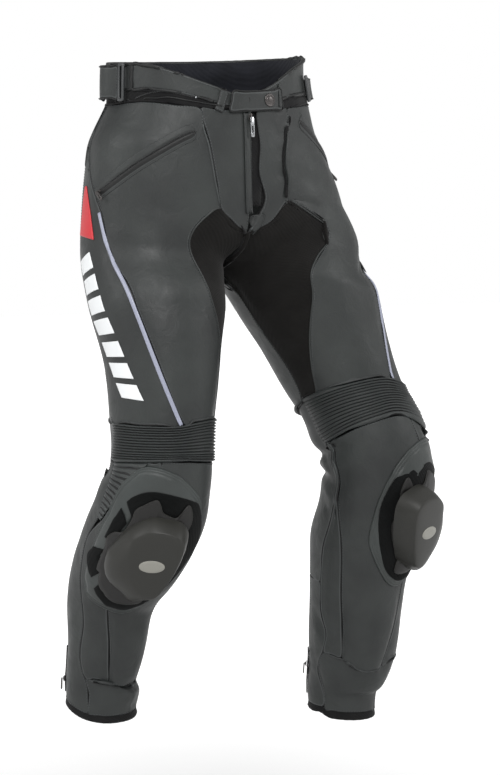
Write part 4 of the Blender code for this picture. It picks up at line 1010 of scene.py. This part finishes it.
# pockets: a coil between two rolled welts, closed round at the upper end; the line in the photograph's pixels
pockets = {
    "section": ((-12.5, 0.1), (-12.2, 0.5), (-11.0, 0.7), (-6.0, 0.8), (-2.6, 1.1), (-1.9, 0.3), (-0.2, 0.3),
                (0.4, 1.9), (1.6, 2.8), (4.0, 2.6), (6.2, 1.9), (7.2, 0.9), (11.0, 0.7), (12.2, 0.5), (12.5, 0.1)),
    # the welts' gap values, one for each point of the section: low values paint dark shade along the welts' edges and
    # in the coil's gap, and the same dark colour over the whole lip on one side of the coil
    "shadeGaps": (0.3, 0.9, 9, 9, 5, 0.2, 0.2, 0.2, 0.6, 0.9, 0.6, 0.4, 7, 0.9, 0.3),
    "cut": {"flat": (0.027, 0.165)}, "wall": 0.0011,
    "coil": -1.0, "coilPitch": 0.0016, "coilLength": 0.0024, "coilLift": 0.0011, "stitchLines": (-0.0117, 0.0117),
    "right": ((195.7, 130.9), (181, 137), (164.2, 146.6), (132.7, 166), (113, 181), (96.4, 195.1)),
    "left": ((299, 120), (312, 135), (325, 151)),
}


def sliderOn(name, place, along, out):
    # a small zip slider: two plates and the bridge that holds the pull
    place, out, along = np.array(place), np.array(out), np.array(along)
    addBoxes(name, [((0.0088, 0.0066, 0.0014), 0.0005, place + out * 0.0012, along, out),
                    ((0.0080, 0.0058, 0.0012), 0.0004, place + out * 0.0032, along, out),
                    ((0.0052, 0.0018, 0.0016), 0.0005, place + out * 0.0043, along, out)], "gunmetal")


for side in sides:
    node = "pocket_zip_" + side
    seen = [spot for spot in (atPixel(x, y, clothTree)[0] for x, y in pockets[side]) if spot is not None]
    if side == "left":  # its lower end lies round the hip, out of sight
        seen += [Vector(p) for p in nodePath(node, 10)[:-1] if p[2] < seen[-1].z - 0.015]
    places, outs = onTree(clothTree, evenly(seen, count=46), 14)
    alongs = unit(np.gradient(places, axis=0))
    across = unit(np.cross(outs, alongs)) * (1 if side == "right" else -1)
    table = np.array(pockets["section"]) * mm
    near = np.minimum(np.arange(len(places)), np.arange(len(places))[::-1]) / 3.0
    narrow = np.sqrt(np.clip(1 - (1 - np.clip(near, 0, 1)) ** 2, 0.05, 1))
    grid = (places[:, None] + across[:, None] * table[None, :, :1] * narrow[:, None, None]
            + outs[:, None] * (table[None, :, 1:] * narrow[:, None, None] + 0.0002))
    gridPiece("pocket_welts_" + side, grid, np.repeat(outs[:, None], len(table), 1), "leather",
              pockets["wall"], replaced=(node,), cut=pockets["cut"], shadeGap=pockets["shadeGaps"])
    coilLine = (places + across * pockets["coil"] * mm)[2:-2]
    zipTeeth("pocket_coil_" + side, coilLine, outs[2:-2], pockets["coilPitch"], pockets["coilLength"], "coil",
             pockets["coilLift"])
    for shift in pockets["stitchLines"]:
        sew("waist", *onTree(clothTree, evenly(places + across * shift, step=stitch["pitch"])))
    pull = "pocket_pull_" + side
    top = nodePath(pull, 8)
    ends = sorted((top[0], top[-1]), key=lambda p: min(np.linalg.norm(places - p, axis=1)))
    spot, out, _, _ = clothTree.find_nearest(Vector(ends[0]))
    sliderOn("pocket_slider_" + side, spot, places[1] - places[0], out)
    hardPiece(pull, "gunmetal", pull, 0.0004)
print("pockets ready")


# welts: a folded lip in the seam round each stretch panel
welt = {"section": ((-1.5, 0.0), (-1.3, 1.0), (-0.6, 1.6), (0.6, 1.6), (1.3, 1.0), (1.5, 0.0)), "near": 0.0045}
for side in sides:
    thighTree = treeOf([dressed["thigh_front_" + side]])
    ring = borderLoops(dressed["inner_stretch_" + side].data)[0]
    near = np.array([thighTree.find_nearest(Vector(p))[3] < welt["near"] for p in ring])
    start = int(np.argmax(near & ~np.roll(near, 1)))
    run = np.roll(ring, -start, axis=0)[:int(near.sum())]
    places, outs = onTree(clothTree, evenly(run, step=0.004), 4)
    layStrip("stretch_welt_" + side, places + outs * 0.0002, outs, welt["section"], "leather", 0.0008)
print("welts ready")


# reflective piping in the side seams
piping = {"section": ((-3.2, 0.1), (-2.6, 0.9), (-1.2, 1.5), (1.2, 1.5), (2.6, 0.9), (3.2, 0.1))}
for side in sides:
    node = "reflective_piping_" + side
    places, _ = onTree(clothTree, evenly(nodePath(node, 12), count=90), 100)
    places, outs = onTree(clothTree, places, 4)
    layStrip("piping_" + side, places + outs * 0.0004, outs, piping["section"], "reflective", 0.0008,
             replaced=(node,))
print("piping ready")


# knees: outlines read from the photograph, in pixels
# the outer half of each is seen on the right leg, the inner half on the left
knee = {
    "cup": (("right", (173, 473), (160, 468.5), (144, 467), (134, 473), (119, 490), (100, 524), (83, 570),
             (83.5, 588), (88, 598), (102, 608), (122, 614)),
            ("left", (388, 583), (379, 569), (371, 551), (369, 537), (373, 517), (379, 498), (391, 474),
             (405, 453))),
    "loop": (("right", (93, 588), (103, 602), (110, 606), (130, 608)),
             ("left", (385, 567), (379, 533), (381, 505), (393, 481)),
             ("right", (192, 500), (173, 495), (155, 492), (143, 493), (130, 498), (124, 502))),
    "wing": (("right", (166, 512), (163, 505), (158, 500), (145, 505), (132, 512), (125, 525), (118, 533), (108, 533),
              (101, 538), (98, 548), (97.5, 566), (100, 571), (99.5, 582), (105, 591), (117, 600)),
             ("left", (394, 571), (400, 553), (397, 551), (393, 537), (393, 521), (401, 514), (400, 492), (407, 477)),
             ("right", (178, 516), (171, 515))),
    "loopLeft": (("right", (90, 577), (88, 568), (88, 554), (93, 546)),),
    "loopUpper": (("right", (98, 537), (103, 529), (110, 518), (118, 508)),),
    "reach": 0.09, "cupWall": 0.0018, "loopWall": 0.0012, "wingWall": 0.0018,
    "cupSection": ((0, 0.6), (1.4, 2.2), (2.8, 2.9), (4.0, 2.0), (5.2, 3.1), (6.6, 3.6), (7.8, 2.9), (9.4, 4.2),
                   (13, 4.7), (20, 4.8), (34, 4.8), (50, 4.7), (62, 4.6)),
    "loopSection": ((0, 4.9), (1.0, 6.3), (3.0, 6.6), (8, 6.6), (14, 6.6), (22, 6.6), (30, 6.6)),
    "wingSection": ((0, 7.2), (0.5, 8.8), (1.6, 9.4), (6, 9.5), (14, 9.6), (24, 9.7), (36, 9.7), (400, 9.7)),
    "cupCut": {"flat": (0.20, 0.23), "area": 0.025}, "loopCut": {"flat": (0.20, 0.20), "area": 0.013},
}
kneeTrees, kneeCentres = {}, {}
for side in sides:
    walls = ("knee_and_guard", "shin_outer", "shin_strip", "knee_pleats", "pleat_tail", "knee_back", "calf")
    kneeTrees[side] = treeOf([dressed[w + "_" + side] for w in walls])
    corners = np.array([v.co for v in cadNodes["knee_cup_" + side].data.vertices])
    centre = np.unique(np.round(corners, 5), axis=0).mean(0)
    away = Vector(centre) - middleAt(centre[2], side)
    kneeCentres[side] = (centre[2], math.atan2(away.y, away.x))


def toKnee(runs):
    # height and way round from the knee's middle, positive to the outer side, in metres
    # the way round is measured 90 mm from the leg's line
    flat = []
    for side, *pixels in runs:
        for x, y in pixels:
            spot, _ = atPixel(x, y)
            if spot is None or (spot.x < 0) != (side == "right"):
                continue
            away = spot - middleAt(spot.z, side)
            turn = (math.atan2(away.y, away.x) - kneeCentres[side][1] + math.pi) % math.tau - math.pi
            flat.append((spot.z - kneeCentres[side][0], turn * knee["reach"] * (1 if side == "left" else -1)))
    return flat


def wrapKnee(side, flat, lifts):
    # lays a grid of such places round the leg, evened over seams and folds, each column at its own height
    rows, columns = flat.shape[:2]
    radius, outs, ways, middles = (np.zeros((rows, columns) + k) for k in ((1,), (3,), (3,), (3,)))
    for i in range(rows):
        for j in range(columns):
            z = kneeCentres[side][0] + flat[i, j, 0]
            turn = kneeCentres[side][1] + flat[i, j, 1] / knee["reach"] * (1 if side == "left" else -1)
            way, start = Vector((math.cos(turn), math.sin(turn), 0)), middleAt(z, side)
            spot, out, _, _ = kneeTrees[side].ray_cast(start + way * 0.25, -way)
            if spot is None:
                spot, out = start + way * radius[i, j - 1, 0], way
            radius[i, j], outs[i, j], ways[i, j], middles[i, j] = (spot - start).length, out, way, start
    for _ in range(6):
        for values in (radius, outs):
            values[:, 1:-1] = (values[:, :-2] + 2 * values[:, 1:-1] + values[:, 2:]) / 4
            if np.allclose(flat[0, 0], flat[-1, 0]):
                ring = values[:-1]
                ring[:] = (np.roll(ring, 1, 0) + 2 * ring + np.roll(ring, -1, 0)) / 4
                values[-1] = values[0]
            else:
                values[1:-1] = (values[:-2] + 2 * values[1:-1] + values[2:]) / 4
    outs = unit(outs)
    return middles + ways * radius + outs * np.array(lifts)[None, :, None] * mm, outs


def kneeBand(name, side, outline, section, finish, wall, count, closed, replaced=(), cut=None):
    # a layer between an outline and the middle of the knee
    # the section is a row of (way in, height) in millimetres
    edge = evenly(outline, count=count, closed=closed)
    long = np.linalg.norm(edge, axis=1)[:, None]
    shares = np.clip(1 - np.array([s[0] for s in section])[None] * mm / long, 0, 1)
    flat = edge[:, None] * shares[:, :, None]
    places, outs = wrapKnee(side, flat, [s[1] for s in section])
    return gridPiece(name, places, outs, finish, wall, replaced, cut=cut), places, outs


outlines = {name: toKnee(knee[name]) for name in ("cup", "loop", "wing", "loopLeft", "loopUpper")}
for side in sides:
    kneeBand("knee_cup_padded_" + side, side, outlines["cup"], knee["cupSection"], "capLeather", knee["cupWall"],
             161, True, ("knee_cup_" + side,), knee["cupCut"])
    kneeBand("loop_main_" + side, side, outlines["loop"], knee["loopSection"], "loop", knee["loopWall"], 150, False,
             ("loop_field_" + side,), knee["loopCut"])
    for name in ("loopLeft", "loopUpper"):
        kneeBand(name + "_" + side, side, outlines[name], knee["loopSection"], "loop", knee["loopWall"], 24, False)
    _, places, _ = kneeBand("wing_" + side, side, outlines["wing"], knee["wingSection"], "wing",
                            knee["wingWall"], 241, True)
    # a thin cord in the lighter block finish along the wing's edge: a painted highlight on that edge
    layCord("wing_edge_highlight_" + side, places[:-1, 1], 0.0005, "slider", closed=True)


# the block: outlines at its foot and at its flat, in pixels of the right knee, and its section
block = {
    "foot": ((153, 518), (136, 524), (125, 532), (113, 545), (107, 553), (104.5, 565), (108, 578), (121, 590),
             (133, 599)),
    "flat": ((134, 541), (147, 535), (160, 534), (172, 536), (181, 541), (184, 549), (180, 562), (170, 581), (157, 597),
             (148, 600), (139, 596), (129, 582), (126, 565), (129, 551)),
    # share of the way from foot to flat, height
    "section": ((0.0, -9.0), (0.0, 2.0), (0.01, 4.0), (0.06, 8.0), (0.24, 15.0), (0.52, 21.5), (0.78, 25.8),
                (1.0, 28.0)),
    # share of the flat's reach, height
    "top": ((0.92, 29.0), (0.78, 29.8), (0.55, 30.4), (0.3, 30.7), (0.0, 30.8)),
    "inlay": ((1.0, 29.0), (1.0, 30.9), (0.94, 31.3), (0.6, 31.5), (0.0, 31.5)),
    "steps": 72, "rise": 9.2, "flatAt": 28.0, "marks": ((152, 566), 19.0, 10.5), "patch": (-0.03, 0.0, 0.03),
}


def blockPlane(side):
    # the block's own plane: its place, the way up, across (to the outer side) and out
    rows = np.array([[(a, b) for b in block["patch"]] for a in block["patch"]])
    places, outs = wrapKnee(side, rows, (0, 0, 0))
    out = Vector(outs.reshape(-1, 3).mean(0)).normalized()
    up = (Vector((0, 0, 1)) - out * out.z).normalized()
    return Vector(places[1, 1]), up, up.cross(out) * (1 if side == "right" else -1), out


def inPlane(plane, pixels, height):
    place, up, across, out = plane
    start, found = Vector(camera["place"]), []
    for x, y in pixels:
        ray = pixelRay(x, y)
        reach = (place + out * height * mm - start).dot(out) / ray.dot(out)
        spot = start + ray * reach - place
        found.append((spot.dot(up), spot.dot(across)))
    return np.array(found)


rightPlane = blockPlane("right")
flatLine = inPlane(rightPlane, block["flat"], block["rise"] + block["flatAt"])
footLine = inPlane(rightPlane, block["foot"], block["rise"])
blockMiddle = flatLine.mean(0)


def reachAt(points, turns):
    # distance from the block's middle at each turn, through a closed outline
    away = points - blockMiddle
    order = np.argsort(np.arctan2(away[:, 1], away[:, 0]))
    away = away[order]
    fine = evenly(away, count=400, closed=True)
    at, long = np.arctan2(fine[:, 1], fine[:, 0]), np.linalg.norm(fine, axis=1)
    order = np.argsort(at)
    return np.interp(turns, at[order], long[order], period=math.tau)


turns = np.linspace(0, math.tau, block["steps"] + 1)
flatReach = reachAt(flatLine, turns)
footTurns = np.arctan2(*(footLine - blockMiddle).T[::-1])
hidden = [t for t in np.linspace(-math.pi, math.pi, 24, endpoint=False)
          if min(abs((t - f + math.pi) % math.tau - math.pi) for f in footTurns) > 0.35]
footAll = [tuple(p) for p in footLine]
for t in hidden:  # where the foot is out of sight, it lies 4 mm outside the flat
    reach = np.interp(t, turns, flatReach, period=math.tau) + 0.004
    footAll.append(tuple(blockMiddle + reach * np.array((math.cos(t), math.sin(t)))))
footReach = np.maximum(reachAt(np.array(footAll), turns), flatReach + 0.003)


for side in sides:
    place, up, across, out = (np.array(v) for v in blockPlane(side))
    rings = [(footReach + (flatReach - footReach) * mix, height) for mix, height in block["section"]]
    rings += [(flatReach * share, height) for share, height in block["top"]]
    grid = np.array([[place + up * (blockMiddle[0] + r * math.cos(t)) + across * (blockMiddle[1] + r * math.sin(t))
                      + out * (block["rise"] + height) * mm for r, t in zip(reach, turns)] for reach, height in rings])
    gridPiece("knee_block_" + side, grid, np.tile(out, grid.shape[:2] + (1,)), "slider",
              replaced=("knee_slider_" + side,), levels=1)
    mark = inPlane(rightPlane, (block["marks"][0],), block["rise"] + block["flatAt"])[0]
    inlay = np.array([[place + up * (mark[0] + math.cos(t) * block["marks"][2] * mm * share)
                       + across * (mark[1] + math.sin(t) * block["marks"][1] * mm * share)
                       + out * (block["rise"] + height) * mm for t in turns[::2]]
                      for share, height in block["inlay"]])
    gridPiece("block_inlay_" + side, inlay, np.tile(out, inlay.shape[:2] + (1,)), "inlay")
print("knees ready")


# ankles: zips, hems
ankle = {
    "section": ((-6.0, 0.3), (-5.4, 1.3), (-4.4, 1.7), (-2.2, 1.5), (-1.6, 0.7), (1.6, 0.7), (2.2, 1.5),
                (4.4, 1.7), (5.4, 1.3), (6.0, 0.3)),
    "cut": {"flat": (0.0135, 0.075)}, "wall": 0.0009, "pitch": 0.0016, "length": 0.0030, "lift": 0.0014,
}
for side in sides:
    node = "ankle_zip_" + side
    places, outs = onTree(clothTree, evenly(nodePath(node, 6), count=24), 3)
    layStrip("ankle_tape_" + side, places + outs * 0.0004, outs, ankle["section"], "webbing", ankle["wall"],
             replaced=(node,), cut=ankle["cut"])
    zipTeeth("ankle_coil_" + side, places[1:-1], outs[1:-1], ankle["pitch"], ankle["length"], "coil",
             ankle["lift"])
    pull = "ankle_pull_" + side
    top = nodePath(pull, 8)[0]
    spot, out, _, _ = clothTree.find_nearest(Vector(top))
    sliderOn("ankle_slider_" + side, np.array(spot) + np.array(out) * 0.0008, places[1] - places[0], out)
    hardPiece(pull, "gunmetal", pull, 0.0004)

hem = {"roll": 0.0016, "rollWidth": 0.004, "inset": 0.004, "wall": 0.0026, "tuck": (0.0056, 0.0016),
       "cut": {"flat": (0.018, 0.36), "area": 0.0055}}
for side in sides:
    node = "hem_binding_" + side
    bm = outerSkin(node, side)
    upper = [v for v in bm.verts if v.is_boundary
             and v.co.z > sum(f.calc_center_median().z for f in v.link_faces) / len(v.link_faces)]
    for v in upper:  # the binding's upper edge goes up behind the cuff
        v.co += Vector((0, 0, hem["tuck"][0])) - outward(v.co, side) * hem["tuck"][1]
    bmesh.ops.inset_region(bm, faces=bm.faces, thickness=0.003, use_boundary=True, use_even_offset=False)
    item = linkMesh(node + "_bound", bm, "webbing")
    smoothThrough(item, 2)
    rings = settleCloth(item, hem["roll"], 0.0, hem["rollWidth"])
    sewBorder(side, item.data, rings, hem["inset"])
    addWall(item, hem["wall"])
    finishPiece(item, (node,))
print("ankles ready")


# plain appliques on the right thigh: a red block and seven slanted pale bars, their edges in pixels
applique = {
    "red": (((87, 186), (90.6, 212), (94, 240)), ((85.4, 187), (82.6, 212), (80.6, 235))),
    "front": ((90, 252), (98, 290), (106, 313), (117, 336), (124, 354), (137, 388), (148, 409)),
    "back": ((80, 243), (81.5, 262), (88, 300), (94, 319), (104, 346), (111, 369), (118, 392), (127, 405)),
    "bars": 7, "fill": 0.7, "lift": 0.0011, "wall": 0.0009,
}


def surfaceLine(pixels, count=101):
    # a line read from the photograph, as an even curve on the cloth
    spots = np.array([spot for spot in (atPixel(x, y, clothTree)[0] for x, y in pixels) if spot is not None])
    heights = np.linspace(spots[0, 2], spots[-1, 2], count)
    ways = [np.polyval(np.polyfit(spots[:, 2], spots[:, k], 2), heights) for k in (0, 1)]
    return np.column_stack(ways + [heights])


def surfacePatch(name, first, second, finish):
    # an applique between two curves, each place laid on the nearest cloth
    shares = np.linspace(0, 1, 9)[None, :, None]
    found = [[clothTree.find_nearest(Vector(p)) for p in row] for row in first[:, None] * (1 - shares)
             + second[:, None] * shares]
    places, outs = (np.array([[f[k] for f in row] for row in found]) for k in (0, 1))
    outs = unit(outs.reshape(-1, 3)).reshape(outs.shape)
    gridPiece(name, places + outs * applique["lift"], outs, finish, applique["wall"], levels=1)


surfacePatch("red_block", *(surfaceLine(edge, 15) for edge in applique["red"]), "red")
front, back = surfaceLine(applique["front"]), surfaceLine(applique["back"])
for k in range(applique["bars"]):
    first = int(100 * k / applique["bars"])
    last = int(first + 100 / applique["bars"] * applique["fill"])
    surfacePatch("pale_bar_%d" % (k + 1), front[first:last + 1], back[first:last + 1], "white")
print("appliques ready")


# every stitch, as one piece for each region
for key, frames in threads.items():
    raised = [(place + out * 0.0002, along, out) for place, along, out in frames]
    repeated("stitches_" + key, bead(stitch["length"], stitch["width"], stitch["height"]), raised, "thread")
print("stitches sewn")
